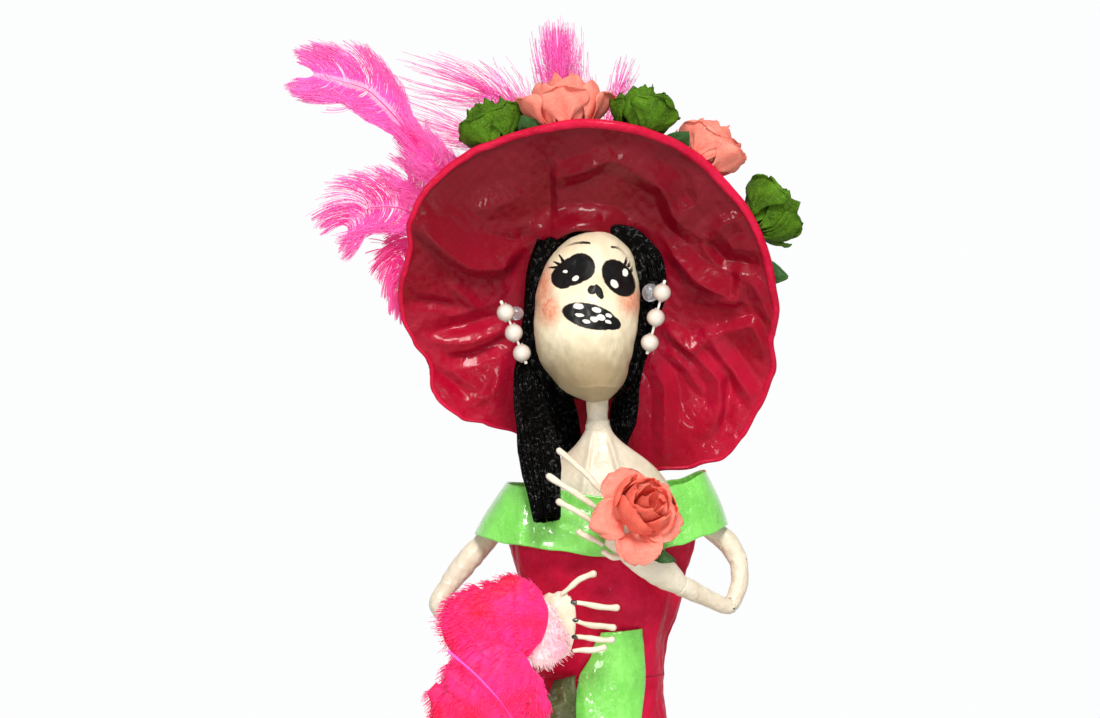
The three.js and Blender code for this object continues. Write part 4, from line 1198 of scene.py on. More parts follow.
for name, points in FINGERS.items():
    line = path(points, 60)
    line[:, 2] += 0.22 * np.sin(np.linspace(0, 2 * np.pi, 60) + rng.uniform(0, 6))
    stick = tube(line, finger_half(np.linspace(0, 1, 60)), sides=18, lumps=0.07, shut=1)
    solid_piece(f"{name}_painted", [stick], BONE, "bone_paint", replaces=[name])

# %% [markdown]
# ## Pearls and their thread
#
# Three moulded beads hang at each ear. The top bead is glued to the hair, and the two below it swing: the
# middle bead on the top one and the lowest on the middle one. A short thread joins each pair.

# %% Pearl finish
def pearl_finish():
    """Cream body colour with a cloudy warm tint, painted shade that browns it towards the edge, and a clear
    coat.
    """
    material, tree, shader = finish("pearl", Roughness=0.22, Coat_Weight=1.0, Coat_Roughness=0.03, IOR=1.5)
    spot = add(tree, "TexCoord").outputs["Object"]
    cloud = remap(tree, noise(tree, spot, 260, 3), 0.35, 0.65)
    body = mix(tree, cloud, (0.78, 0.67, 0.57, 1), (0.84, 0.75, 0.67, 1))
    # Painted shade: the colour turns brown where the surface faces away from the camera, at the bead's edge.
    rim = add(tree, "LayerWeight", {"Blend": 0.35}).outputs["Facing"]
    tree.links.new(mix(tree, rim, body, (0.30, 0.22, 0.18, 1)), shader.inputs["Base Color"])
    shader.inputs["Sheen Weight"].default_value = 0.1
    return material


PEARL = pearl_finish()


# %% Beads
BEAD_RADIUS = 3.0


def bead(name, centre, **where):
    """A ball with a small moulded ring at its top and bottom: the radius follows the angle from the pole."""
    v, u = grid(44, 57)
    polar, turn = np.pi * v, 2 * np.pi * u[:, :-1]
    reach = BEAD_RADIUS * (1 + 0.10 * hump(np.sin(polar), 0, 0.12)) * (1 + 0.006 * ripples(3 * v, 3 * u, 2))
    ring = (reach * np.sin(polar))[:, :-1]
    tall = (reach * np.cos(polar))[:, :-1]
    points = np.stack([ring * np.cos(turn), ring * np.sin(turn), tall], -1) + np.asarray(centre, float)
    return solid_piece(name, [points], PEARL, "pearl", **where)


def thread_between(name, top, low, upper_body, lower_body):
    """A thin thread from inside one bead to inside the next, bowed a little to one side."""
    line = np.linspace(top, low, 14)
    line[:, 0] += 0.12 * np.sin(np.linspace(0, np.pi, 14))
    surface = tube(line, 0.4, sides=12, lumps=0.08, shut=1)
    mesh = make_mesh(name, surface, [grid_quads(14, 12, round_columns=True)])
    seal(mesh)
    piece = bpy.data.objects.new(name, mesh)
    bpy.context.scene.collection.objects.link(piece)
    mesh.materials.append(THREAD)
    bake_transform(piece)
    print(name, "joins", upper_body, "and", lower_body)


EARRINGS = {
    "right": [(-30.7, -6.5, 325.7), (-28.0, -6.5, 319.0), (-25.3, -6.5, 312.3)],
    "left": [(21, -6.5, 332.3), (19, -6.5, 324.0), (17, -6.5, 315.7)],
}
for side, centres in EARRINGS.items():
    centres = [np.array(c) for c in centres]
    bodies = [FIGURE, f"earring_{side}_middle", f"earring_{side}_drop"]
    for part, centre, body in zip(("stud", "middle", "drop"), centres, bodies):
        node = f"earring_{side}_{part}_bead"
        bead(f"pearl_{side}_{part}", centre, body=body, replaces=[node])
    toward = unit(centres[1] - centres[0])
    for k in (0, 1):
        top, low = centres[k] + toward * 2.2, centres[k + 1] - toward * 2.2
        thread_between(f"thread_{side}_{k + 1}", top, low, bodies[k], bodies[k + 1])
    stub_up = [tube(np.linspace(centres[0] - toward * 2.5, centres[0] - toward * 4.3, 10), 0.55, sides=12)]
    solid_piece(f"stub_{side}_top", stub_up, THREAD, "pearl")
    stub_low = [tube(np.linspace(centres[2] + toward * 2.5, centres[2] + toward * 4.0, 10), 0.55, sides=12)]
    solid_piece(f"stub_{side}_low", stub_low, THREAD, "pearl", body=bodies[2])

# %% Glue and bare wire
def blob(name, centre, sizes, finish_used, slot, **where):
    """A rounded lump: a ball stretched to three half sizes, with ripples of a few percent on it."""
    v, u = grid(22, 33)
    polar, turn = np.pi * v[:, :-1], 2 * np.pi * u[:, :-1]
    ball = np.stack([np.sin(polar) * np.cos(turn), np.sin(polar) * np.sin(turn), np.cos(polar)], -1)
    uneven = 1 + 0.1 * np.sin(2 * turn + 3 * v[:, :-1])[..., None] * np.sin(polar)[..., None]
    return solid_piece(name, [ball * uneven * sizes + centre], finish_used, slot, **where)


blob("glue_right", (-27.2, -3.2, 325.4), (2.3, 2.0, 2.3), GLUE, "pearl")
blob("glue_left", (17.4, -3.6, 332.3), (2.6, 2.4, 3.0), GLUE, "pearl")
blob("elbow_chip", (43.9, -11.2, 228.4), (0.9, 0.8, 0.8), WIRE, "steel_wire")
for k in (2, 3, 4):
    root = np.array(FINGERS[f"finger_right_{k}"][0])
    stub = path(root + [(-1.0, 0.2, 0.1), (0.2, -0.2, 0), (1.4, -0.2, -0.1)], 12)
    solid_piece(f"bare_wire_{k}", [tube(stub, 0.7, sides=14, shut=0.6)], WIRE, "steel_wire")

# %% [markdown]
# ## Hair
#
# Her hair is black yarn stiffened with paint. It is drawn here as locks: a dark core with hundreds of
# strands laid on it. A strand keeps its own place on the core's section from root to tip, turned a little
# as it goes, so neighbours run side by side and never cross for long.

# %% Hair finish
def hair_finish():
    """Near-black yarn: a fine noise varies its gloss, and a clear coat in flecks gives wet glints."""
    material, tree, shader = finish("black_hair", Coat_Roughness=0.08, Specular_IOR_Level=0.04)
    spot = add(tree, "TexCoord").outputs["Object"]
    grain = remap(tree, noise(tree, spot, 500, 4), 0.35, 0.65)
    black = mix(tree, grain, (0.0006, 0.0005, 0.0005, 1), (0.003, 0.0026, 0.0024, 1))
    tree.links.new(black, shader.inputs["Base Color"])
    tree.links.new(remap(tree, grain, 0, 1, 0.3, 0.55), shader.inputs["Roughness"])
    flecks = remap(tree, noise(tree, spot, 750, 3), 0.53, 0.63)
    tree.links.new(flecks, shader.inputs["Coat Weight"])
    bumps = {"Height": noise(tree, spot, 1100, 5), "Strength": 1.0, "Distance": 0.5 * MM}
    tree.links.new(add(tree, "Bump", bumps).outputs["Normal"], shader.inputs["Normal"])
    tree.links.new(add(tree, "Bump", bumps).outputs["Normal"], shader.inputs["Coat Normal"])
    return material


HAIR = hair_finish()


# %% Locks
def lock(name, points, wide_rows, thick_rows, count, twist=0.6, facing=(0, -1, 0), half=0.24, **where):
    """A lock of hair: an oval core, and strands round it at centre + wide cos(t) + thick sin(t)."""
    steps = 26
    share = np.linspace(0, 1, steps)
    line = path(points, steps)
    wide, thick = through(wide_rows)(share), through(thick_rows)(share)
    core = tube(line, wide * 0.9, thick * 0.9, sides=28, facing=facing, lumps=0.05, shut=0.4)
    side, front = across(line, facing)
    turn = rng.uniform(0, 2 * np.pi, (count, 1)) + twist * share
    beats, phase = rng.uniform(0.6, 1.6, (count, 1)), rng.uniform(0, 6, (count, 1))
    turn = turn + 0.16 * np.sin(2 * np.pi * share * beats + phase)
    out = rng.uniform(0.86, 1.04, (count, 1)) + 0.04 * np.sin(9 * share + rng.uniform(0, 6, (count, 1)))
    offset = side * (out * np.cos(turn) * wide)[..., None] + front * (out * np.sin(turn) * thick)[..., None]
    lines = line + offset
    cut = rng.uniform(-0.012, 0.012, (count, 1))
    lines = lines + unit(np.gradient(line, axis=0)) * (cut * share * 40)[..., None]
    strands = strands_mesh(f"{name}_strands", lines, half * rng.uniform(0.7, 1.25, (count, 1)), facing)
    solid_piece(f"{name}_core", [core], HAIR, "black_hair", **where)
    place(f"{name}_strands", strands, HAIR, "black_hair")


lock(
    "tress_front",
    [[-17.5, 6, 349.5], [-20.6, 5, 341], [-22.2, 4, 332], [-23.2, 3.4, 320], [-23.8, 2.4, 309],
     [-23.2, -2.5, 299], [-20.9, -13, 287.6], [-18.5, -23, 273], [-16.9, -29, 258.8]],
    [(0, 2.6), (0.1, 2.4), (0.2, 1.8), (0.34, 2.4), (0.48, 4.3), (0.62, 5.2), (0.8, 6.2), (0.93, 4.8),
     (1, 4.1)],
    [(0, 2.0), (0.2, 2.8), (0.5, 2.9), (1, 2.8)], 380, replaces=["hair_tress_front"],
)
lock(
    "tress_back_right", [[-18, 8, 312], [-14.6, 9, 302], [-11.2, 10, 290], [-8.4, 10.4, 277]],
    [(0, 4.0), (0.4, 4.4), (0.8, 4.2), (1, 3.2)], [(0, 3), (1, 2.6)], 260, replaces=["hair_tress_back_right"],
)
lock(
    "tress_back_left", [[14.2, 7.5, 317], [13, 8.4, 311], [10.7, 9, 302], [8.9, 9.6, 292], [7.3, 10.2, 281]],
    [(0, 2.6), (0.4, 3.4), (0.7, 4.3), (1, 2.4)], [(0, 3), (1, 2.6)], 260, replaces=["hair_tress_back_left"],
)
lock(
    "lock_left",
    [[3, 8, 354.4], [11.5, 6.5, 351], [16.6, 5, 344], [18.3, 4, 333], [15.8, 4, 322], [13.8, 5, 311]],
    [(0, 1.8), (0.2, 3.2), (0.42, 4.4), (0.62, 4.2), (0.8, 2.8), (1, 2.4)], [(0, 2.4), (0.4, 4.6), (1, 3)],
    420,
)
lock(
    "lock_top", [[-17.6, 7, 346.5], [-12.5, 7, 351.8], [-5, 7.4, 354], [4, 7.4, 354.2], [11, 6.5, 351.6]],
    [(0, 2.6), (0.3, 1.7), (0.6, 1.7), (1, 2.2)], [(0, 2), (0.5, 2.4), (1, 2)], 200, twist=0.3,
)

# %% Hair over the back of the head
v, u = grid(90, 160)
cap_h = -HEAD_HALF * np.cos(np.pi * (0.22 + 0.76 * v))
open_a = np.radians(22 - 24 * (1 - step(cap_h, 4, 14)) - 22 * (1 - step(cap_h, -24, -2)))
line_a = -open_a + (np.pi + 2 * open_a) * u
cap_edge = 4 * (u - 0.5) ** 2
cap_grow = 2.7 - 3.4 * step(cap_edge, 0.82, 1) + 0.25 * ripples(30 * u, 30 * v, 7)
cap_outer = head_point(cap_h, line_a, cap_grow)
cap_inner = head_point(cap_h, line_a, np.full_like(cap_h, -0.9))
both = np.concatenate([cap_outer, cap_inner[::-1]])
cap_mesh = make_mesh("hair_cap_core", both, sheet_faces(*both.shape[:2]))
seal(cap_mesh)
place("hair_cap_core", cap_mesh, HAIR, "black_hair", replaces=["hair_cap"])

count, steps = 1000, 22
share = np.linspace(0, 1, steps)
start_a = np.sort(rng.uniform(np.radians(-14), np.radians(194), (count, 1)), axis=0)
beats, phase = rng.uniform(0.5, 1.4, (count, 1)), rng.uniform(0, 6, (count, 1))
strand_a = start_a + 0.05 * np.sin(2 * np.pi * share * beats + phase)
strand_h = -HEAD_HALF * np.cos(np.pi * (0.235 + 0.72 * (1 - share) + 0.01 * rng.standard_normal((count, 1))))
open_a = np.radians(15 - 22 * (1 - step(strand_h, 4, 14)) - 20 * (1 - step(strand_h, -24, -2)))
strand_a = np.pi / 2 + (strand_a - np.pi / 2) * (np.pi + 2 * open_a) / (np.pi + np.radians(30))
strand_grow = 2.75 + 0.35 * rng.standard_normal((count, 1))
strand_grow = strand_grow + 0.25 * np.sin(8 * share + rng.uniform(0, 6, (count, 1)))
cap_lines = head_point(strand_h, strand_a, strand_grow)
cap_strands = strands_mesh("hair_cap_strands", cap_lines, 0.27, facing=(0, 1, 0))
place("hair_cap_strands", cap_strands, HAIR, "black_hair")

# %% [markdown]
# ## Paper roses
#
# A rose is a spiral of petals. Each petal is one sheet whose angle, reach and height follow two parameters.
# The golden angle turns each petal from the last, so none sits squarely over another. Inner petals stand
# upright and hug the bud, and outer ones open flat and roll their edges back.

# %% Petals
GOLDEN = np.radians(137.5)


def petal_sheet(axis, base, reach, tall, turn, opening, width, seed):
    """One petal at (v along, s across): angle turn + s * width, with radius and height by how far it opens.

    Closed, its radius follows sin(pi (0.12 + 0.62 v)), the side of a globe; open, it runs straight outwards.
    The height rises with v when closed and hardly at all when open, and the lip rolls back.
    """
    local = np.random.default_rng(seed)
    v, u = grid(20, 23)
    s = 2 * u - 1
    rounding = np.sqrt(np.clip(1 - (np.maximum(v - 0.5, 0) / 0.515) ** 2.4, 0.02, 1))
    outline = np.minimum(0.25 + 1.5 * v, 1) * rounding
    angle = turn + s * width * outline
    globe = np.sin(np.pi * (0.12 + 0.62 * v)) ** 0.85
    lip = step(v, 0.78, 1)
    wave = 0.035 * np.sin(4 * s + local.uniform(0, 6)) * v**2 + 0.03 * ripples(3 * s, 3 * v, 2.4) * v
    radius = reach * ((1 - opening) * globe + opening * (0.16 + 0.84 * v * (1 - 0.12 * s**2)) + wave)
    radius = radius + reach * 0.11 * lip * (0.4 + opening)
    point = 0.025 * hump(s, local.uniform(-0.2, 0.2), 0.22) * v**4
    tip = 1 - 0.16 * np.abs(s) ** 2.2 * v + point
    rise = tall * ((1 - opening) * (0.02 + 0.98 * v) * tip + opening * (0.10 + 0.42 * np.sin(np.pi / 2 * v)))
    rise = rise - tall * lip * (0.05 + 0.16 * opening * (0.5 + 0.5 * np.cos(2 * s + local.uniform(-1, 1))))
    rise = rise + tall * 0.025 * ripples(4 * s, 4 * v, 3)
    helper = np.array([0, 0, 1.0]) if abs(axis[2]) < 0.9 else np.array([1.0, 0, 0])
    one = unit(np.cross(axis, helper))
    two = np.cross(axis, one)
    flat = np.cos(angle)[..., None] * one + np.sin(angle)[..., None] * two
    return base + flat * radius[..., None] + axis * rise[..., None]


def sheets_mesh(name, fronts, wall):
    """Many closed sheets of one size in one mesh, each made as a front, a back and the strip between them."""
    points, faces, first = [], [], 0
    for front in fronts:
        inward = unit(np.cross(np.gradient(front, axis=0), np.gradient(front, axis=1)))
        both = np.concatenate([front, (front + inward * wall)[::-1]])
        rows, columns = both.shape[:2]
        faces += [part + first for part in sheet_faces(rows, columns)]
        points.append(both.reshape(-1, 3))
        first += rows * columns
    mesh = make_mesh(name, np.concatenate(points), faces)
    seal(mesh, 0.0005)
    return mesh


def rose(
    name, base, axis, reach, tall, finish_used, slot, seed,
    cup=11, outer=4, opening=0.55, outer_axis=None, pale=None, **where,
):
    """A rose: `cup` closed petals that grow from the bud, and `outer` wider petals opened behind them."""
    axis, base = unit(np.array(axis, float)), np.array(base, float)
    back = axis if outer_axis is None else unit(np.array(outer_axis, float))
    fronts = []
    for k in range(cup):
        share = k / (cup - 1)
        size = reach * (0.16 + 0.62 * share**0.85)
        high = tall * (1.0 - 0.16 * share)
        turn, open_by, width = seed + GOLDEN * k, 0.10 * share**2, 1.25 - 0.3 * share
        fronts.append(petal_sheet(axis, base, size, high, turn, open_by, width, seed * 50 + k))
    width = 0.86 if opening > 0.7 else 0.8
    for k in range(outer):
        turn = seed + 2 * np.pi * (k + 0.15 * np.sin(5 * k)) / outer
        size = reach * (0.95 + 0.08 * np.sin(3 * k + seed))
        fronts.append(petal_sheet(back, base, size, tall * 0.8, turn, opening, width, seed * 50 + cup + k))
    mesh = sheets_mesh(name, fronts, 0.26)
    piece = place(name, mesh, finish_used, slot, **where)
    if pale is not None:
        mesh.materials.append(pale)
        index = np.zeros(len(mesh.polygons), np.int32)
        index[len(mesh.polygons) * cup // (cup + outer):] = 1
        mesh.polygons.foreach_set("material_index", index)
    return piece


def brim_point(degrees, share, back):
    """A point at a share of the way from hole to rim, moved `back` behind the brim."""
    a = np.radians(degrees)
    r = HOLE + (float(rim_radius(np.array([degrees % 360.0]))[0]) - HOLE) * share
    forwards = brim_dish(share, a) - back
    return HAT_CENTRE + ACROSS * r * np.cos(a) + UPWARD * r * np.sin(a) + UNDER * forwards


# %% Hat roses
# direction in degrees, reach, height, shift outwards, seed
HAT_ROSES = {
    "hat_rose_green_1": (118, 14.5, 19.5, 1.5, 3), "hat_rose_coral_1": (96.5, 16.5, 22, 1, 8),
    "hat_rose_green_2": (74.5, 14.5, 19.5, 1.5, 5), "hat_rose_coral_2": (52, 15, 19.5, 1, 13),
    "hat_rose_green_3": (25.5, 14.5, 19.5, 4.5, 21),
}
for name, (degrees, reach, tall, shift, seed) in HAT_ROSES.items():
    a = np.radians(degrees)
    radial = ACROSS * np.cos(a) + UPWARD * np.sin(a)
    coral = "coral" in name
    rose(
        f"{name}_petals", brim_point(degrees, 0.84, 3.0) + radial * shift, 0.8 * radial - 0.6 * UNDER,
        reach, tall, CORAL_PALE if coral else ROSE_GREEN, "coral_paper" if coral else "leaf_paper",
        seed, opening=0.42, replaces=[name],
    )

# %% Held rose
# The cup petals take CORAL, whose deeper colour is painted shade for the folds of the cup; the outer ones
# take CORAL_PALE.
rose(
    "held_rose_petals", (10.8, -33.2, 258.6), (0.44, -0.72, 0.54), 14.6, 17, CORAL, "coral_paper", 4, cup=12,
    outer=5, opening=0.93, outer_axis=(0.12, -0.95, 0.28), pale=CORAL_PALE, replaces=["held_rose"],
)


# %% Leaves
def leaf_front(points, half, facing, curl=0.25):
    """A pointed blade: half width half * sin(pi v^0.8)^0.8, folded up along its middle by `curl`."""
    v, u = grid(34, 17)
    line = path(points, 34)
    side, front = across(line, facing)
    s = 2 * u - 1
    wide = half * np.sin(np.pi * np.clip(0.04 + 0.955 * v[:, 0], 0, 1) ** 0.8) ** 0.8
    offset = s * wide[:, None]
    bend = curl * np.abs(offset) + 0.16 * ripples(4 * s, 9 * v, 3)
    return line[:, None] + side[:, None] * offset[..., None] + front[:, None] * bend[..., None]


def leaves(name, rows, facing, **where):
    """Several blades in one piece, each from its points and half width."""
    fronts = [leaf_front(np.array(points, float), half, facing) for points, half in rows]
    return place(name, sheets_mesh(name, fronts, 0.3), LEAF, "leaf_paper", **where)


for name, degrees, skew in (("hat_leaf_1", 106.5, 2), ("hat_leaf_2", 63.5, -2), ("hat_leaf_3", 12, -3)):
    route = [brim_point(degrees + skew * t, 0.8 + 0.34 * t, 1.6 + 0.6 * t) for t in (0, 0.5, 1)]
    leaves(f"{name}_blade", [(route, 4.6)], -UNDER, replaces=[name])

leaves(
    "held_rose_blade",
    [([[15.1, -35.6, 250.4], [19.4, -37.4, 247.4], [24.1, -38.4, 246]], 2.2),
     ([[10.9, -34, 263.9], [8.6, -35, 267.8], [6.7, -35.4, 270.7]], 1.6)],
    (0, -1, 0), replaces=["held_rose_leaf"],
)

# %% [markdown]
# ## Feathers
#
# A feather is a quill with hundreds of barbs. A barb leaves the quill sideways and sweeps forwards as it
# goes, so its path is one power of s outwards and another along the quill. Barbs cling in groups: each is
# pulled towards the middle of its group, and gaps open between the groups. Down curls out in every direction.

# %% Feather finish
def feather_finish(name, deep, bright, pale):
    """Dyed barbs with a faint painted glow: each barb's own tone picks between deep and bright, and the tip
    fades towards pale.
    """
    material, tree, shader = finish(
        name, Roughness=0.65, Sheen_Weight=0.35, Sheen_Roughness=0.4, Emission_Strength=0.15
    )
    shader.inputs["Sheen Tint"].default_value = (1.0, 0.45, 0.75, 1)
    tone = add(tree, "Attribute", attribute_name="tone").outputs["Fac"]
    along = add(tree, "Attribute", attribute_name="along").outputs["Fac"]
    spot = add(tree, "TexCoord").outputs["Object"]
    cloud = remap(tree, noise(tree, spot, 130, 3), 0.35, 0.65, 0.0, 0.4)
    patch = remap(tree, noise(tree, spot, 34, 2), 0.38, 0.60, -0.2, 0.5)
    amount = calc(tree, "ADD", calc(tree, "MULTIPLY", tone, 0.5), calc(tree, "ADD", cloud, patch))
    shade = mix(tree, amount, (*deep, 1), (*bright, 1))
    fade = calc(tree, "MULTIPLY", calc(tree, "POWER", along, 1.5), 0.35)
    dye_and_glow = mix(tree, fade, shade, (*pale, 1))
    tree.links.new(dye_and_glow, shader.inputs["Base Color"])
    # Painted glow: the same colour feeds a faint emission, so the feathers shine though they are no lamp.
    tree.links.new(dye_and_glow, shader.inputs["Emission Color"])
    return material


HAT_PINK = feather_finish("hat_feather_dye_and_glow", (0.95, 0.03, 0.36), (1.0, 0.13, 0.60), (1.0, 0.42, 0.78))
DROP_PINK = feather_finish("dark_feather_dye_and_glow", (0.80, 0.008, 0.20), (0.96, 0.04, 0.36), (0.97, 0.24, 0.55))
FAN_PINK = feather_finish("fan_feather_dye_and_glow", (0.86, 0.002, 0.045), (1.0, 0.022, 0.26), (1.0, 0.10, 0.42))
PALE_DOWN = feather_finish("pale_down", (0.93, 0.42, 0.55), (0.93, 0.78, 0.74), (0.93, 0.86, 0.80))


# %% Barbs
def bundle(name, lines, half, finish_used, slot, **where):
    """Places strands as one piece, with a tone for each strand and its share along it as attributes."""
    count, steps = lines.shape[:2]
    mesh = strands_mesh(name, lines, half)
    per_point = len(mesh.vertices) // (count * steps)
    tone = np.repeat(rng.uniform(0, 1, count), steps * per_point)
    share = np.tile(np.repeat(np.linspace(0, 1, steps), per_point), count)
    for label, values in (("tone", tone), ("along", share)):
        mesh.attributes.new(label, "FLOAT", "POINT").data.foreach_set("value", values.astype(np.float32))
    return place(name, mesh, finish_used, slot, **where)


def barbs(points, half_rows, count, reach, sweep, clumps, pull, wave, puff, steps=9, least=0.82):
    """Paths of barbs: at t on the quill, out by half(t) (1 - (1-s)^1.7) and forwards by sweep s^1.6.

    Each barb is also pulled along the quill towards the middle of its group, and `puff` turns it out of the
    feather's own plane. `least` is the smallest share of half(t) that a barb goes out.
    """
    line = path(points, 240)
    side, front = across(line, (0, -1, 0))
    run = unit(np.gradient(line, axis=0))
    length = np.linalg.norm(np.diff(line, axis=0), axis=1).sum()
    t = rng.uniform(*reach, (count, 1))
    sign = rng.choice([-1.0, 1.0], (count, 1))
    k = np.round(t[:, 0] * 239).astype(int)
    s = np.linspace(0, 1, steps)
    size = through(half_rows)(t) * rng.uniform(0.85, 1.15, (count, 1))
    middle = (np.floor(t * clumps + 0.4 * sign) + 0.5 - 0.4 * sign) / clumps
    tilt = puff * rng.standard_normal((count, 1, 1))
    outward = (side[k] * sign)[:, None] * np.cos(tilt) + front[k][:, None] * np.sin(tilt)
    out = size * rng.uniform(least, 1, (count, 1)) * (1 - (1 - s) ** 1.7)
    ahead = size * sweep * (0.7 + 0.9 * t**3) * s**1.6 + (middle - t) * length * pull * s**2
    paths = line[k][:, None] + outward * out[..., None] + run[k][:, None] * ahead[..., None]
    for direction in (run[k], front[k]):
        swing = np.sin(2 * np.pi * (s * rng.uniform(0.7, 1.8, (count, 1)) + rng.uniform(0, 1, (count, 1))))
        paths = paths + direction[:, None] * (wave * size * s * swing)[..., None]
    return paths


def quill(name, points, half, finish_used, slot, **where):
    """The quill: a tube that thins to a point."""
    line = path(points, 70)
    stick = tube(line, half * (1.05 - np.linspace(0, 1, 70)), sides=10, shut=1)
    return solid_piece(name, [stick], finish_used, slot, **where)


# %% Feathers behind the hat
LONG = [[-40, 14, 364], [-54, 9, 375], [-65, 6, 388], [-77, 4, 400], [-95, 3, 405.5]]
quill("quill_long", LONG, 0.5, DROP_PINK, "hat_feather", replaces=["hat_feather_long"])
bundle("vane_long", barbs(
    LONG, [(0, 1), (0.30, 2.5), (0.42, 4.5), (0.6, 9.0), (0.8, 9.6), (0.93, 6.5), (1, 2.8)], 1900,
    reach=(0.3, 1), sweep=1.25, clumps=30, pull=0.75, wave=0.03, puff=0.1, steps=10,
), 0.09, HAT_PINK, "hat_feather")
bundle("down_long", barbs(
    LONG[:3], [(0, 7), (0.5, 7.5), (0.85, 4.5), (1, 3.0)], 1500, reach=(0, 1), sweep=1.2, clumps=9, pull=0.3,
    wave=0.2, puff=0.7,
), 0.075, HAT_PINK, "hat_feather")

FAN = [[-45, 17, 352], [-57, 14, 357.5], [-69, 12, 361.5], [-77, 11, 361], [-84.5, 10, 355]]
quill("quill_fan", FAN, 0.4, DROP_PINK, "hat_feather", replaces=["hat_feather_fan"])
bundle("vane_fan", barbs(
    FAN, [(0, 3), (0.3, 8), (0.55, 11), (0.8, 9.5), (1, 4)], 1000,
    reach=(0.2, 1), sweep=1.15, clumps=13, pull=0.9, wave=0.05, puff=0.16, steps=10,
), 0.085, HAT_PINK, "hat_feather")
bundle("down_fan", barbs(
    [[-43, 17, 360], [-54, 14, 366], [-64, 12, 371]], [(0, 8), (0.6, 8), (1, 5)], 800,
    reach=(0, 1), sweep=1.1, clumps=8, pull=0.4, wave=0.16, puff=0.6,
), 0.075, HAT_PINK, "hat_feather")

DROP = [[-49, 22, 350], [-60, 20, 353], [-66.5, 19, 346], [-66, 19, 330]]
quill("quill_drop", DROP, 0.4, DROP_PINK, "hat_feather", replaces=["hat_feather_drop"])
bundle("vane_drop", barbs(
    DROP, [(0, 3), (0.4, 5.5), (0.7, 4.6), (1, 1.8)], 900, reach=(0.2, 1), sweep=2.3, clumps=9, pull=0.9,
    wave=0.05, puff=0.25,
), 0.11, DROP_PINK, "hat_feather")

# name: points, half rows, number of barbs, sweep, groups, waviness
TUFTS = {
    "side": ([[-17, 20, 374], [-21, 16, 387], [-28, 13, 396], [-39, 11, 400]],
             [(0, 4), (0.4, 7), (1, 9)], 430, 1.9, 9, 0.34),
    "side_low": ([[-24, 20, 372], [-33, 16, 382], [-45, 13, 386]], [(0, 4), (1, 8)], 210, 2.2, 7, 0.34),
    "top": ([[-10, 20, 374], [-11, 15, 390], [-12.6, 12, 404], [-13.4, 11, 415]],
            [(0, 10), (0.4, 11), (0.7, 9), (1, 4.5)], 1150, 1.2, 24, 0.36),
    "back": ([[2, 20, 374], [3.4, 15, 388], [5.5, 13, 396], [8, 12, 403]],
             [(0, 3), (0.7, 4.8), (1, 4)], 300, 1.4, 5, 0.3),
}
for name, (points, half_rows, count, sweep, clumps, wave) in TUFTS.items():
    hidden = [] if name == "side_low" else [f"hat_feather_{name}"]
    quill(f"quill_{name}", points, 0.4, HAT_PINK, "hat_feather", replaces=hidden)
    tuft = barbs(points, half_rows, count, (0.05, 1), sweep, clumps, 0.35, wave, 0.5, least=0.05)
    bundle(f"tuft_{name}", tuft, 0.08, HAT_PINK, "hat_feather")

# %% [markdown]
# ## The feather fan
#
# Her right hand holds a fan of down. Seen close, down is a soft felt: the barbs are so fine and so many
# that no single one shows. A lumpy body gives the felt its bulk, and thousands of short curls stand on it.

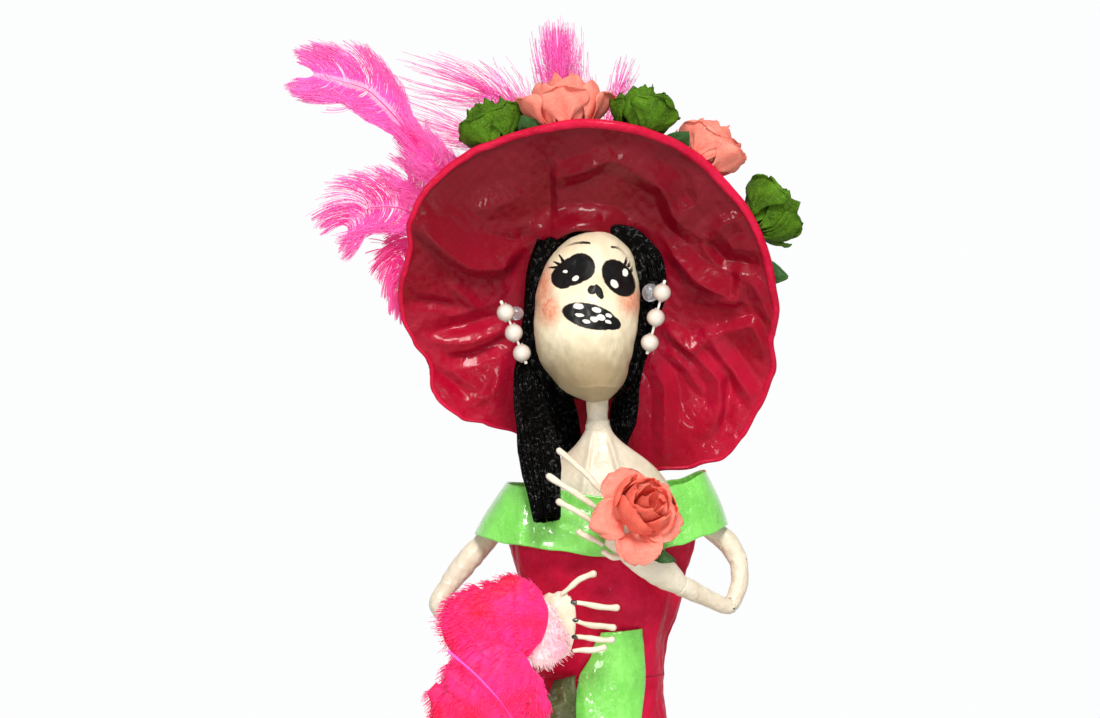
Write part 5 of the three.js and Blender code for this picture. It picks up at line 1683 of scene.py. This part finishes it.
# %% Fan
def felt(name, points, wide_rows, thick_rows, count, curl_length, finish_used=FAN_PINK, **where):
    """A lumpy oval body with curls on it: a curl starts on the body and leans along it as it rises."""
    steps, sides = 90, 64
    share = np.linspace(0, 1, steps)
    line = path(points, steps)
    wide, thick = through(wide_rows)(share), through(thick_rows)(share)
    body = tube(line, wide, thick, sides=sides, lumps=0.07, shut=0.8)
    turn = np.linspace(0, 2 * np.pi, sides)
    lumpy = 1 + 0.035 * ripples(60 * share[:, None] + 0 * body[..., 0], 9 * turn, 5)
    body = line[:, None] + (body - line[:, None]) * lumpy[..., None]
    solid_piece(f"{name}_body", [body], finish_used, "fan_feather", **where)
    i, j = rng.integers(3, steps - 3, count), rng.integers(0, sides, count)
    root = body[i, j]
    out = unit(root - line[i])
    run = unit(np.gradient(line, axis=0))[i]
    beside = unit(np.cross(out, run))
    s = np.linspace(0, 1, 4)[None, :, None]
    size = curl_length * rng.uniform(0.5, 1.3, (count, 1, 1))
    lean = rng.normal(0.9, 0.5, (count, 1, 1))
    swing = np.sin(2 * np.pi * (s * rng.uniform(0.5, 1.3, (count, 1, 1)) + rng.uniform(0, 1, (count, 1, 1))))
    drift = rng.normal(0, 0.55, (count, 1, 1))
    rise = out[:, None] * 0.62 * s**0.8 + run[:, None] * lean * s**1.3
    stray = beside[:, None] * (drift * s + 0.22 * s * swing)
    lines = root[:, None] - out[:, None] * 0.4 + size * (rise + stray)
    return bundle(f"{name}_curls", lines, 0.085, finish_used, "fan_feather")


felt(
    "fan_upper", [[-16.6, -36.4, 226.2], [-27.5, -38, 227.2], [-38.9, -38.6, 224.6], [-49.5, -38, 220.1]],
    [(0, 11), (0.3, 12.8), (0.7, 11.8), (1, 9)], [(0, 2.4), (0.5, 4), (1, 2.6)], 4600, 2.1,
    replaces=["fan_feather_upper"],
)
felt(
    "fan_middle", [[-23, -40, 215], [-31.5, -42, 209], [-40, -43, 199.5], [-45.6, -42.6, 187.5]],
    [(0, 11.5), (0.3, 14.2), (0.65, 13.6), (1, 9)], [(0, 2.4), (0.5, 4), (1, 2.6)], 4600, 2.1,
    replaces=["fan_feather_middle"],
)
felt(
    "fan_lower", [[-25, -37.6, 213], [-27.5, -38.6, 200], [-31, -38.8, 184], [-34.5, -38, 169]],
    [(0, 7), (0.3, 10.6), (0.6, 11.2), (1, 6.5)], [(0, 2.4), (0.5, 3.6), (1, 2.2)], 3800, 2.1,
    replaces=["fan_feather_lower"],
)
quill(
    "fan_quill", [[-48.3, -47.2, 218.4], [-40, -48.4, 211.5], [-32, -48.6, 203], [-24.5, -47.4, 192]],
    0.45, HAT_PINK, "fan_feather",
)
felt(
    "palm_down", [[-19.4, -32.9, 233], [-19.4, -34.2, 226.5], [-17.4, -34.6, 219.5], [-13.6, -34.2, 213.6]],
    [(0, 4.4), (0.3, 6.2), (0.7, 7.0), (1, 4.2)], [(0, 0.8), (0.5, 1.5), (1, 1)], 3000, 1.4, PALE_DOWN,
)
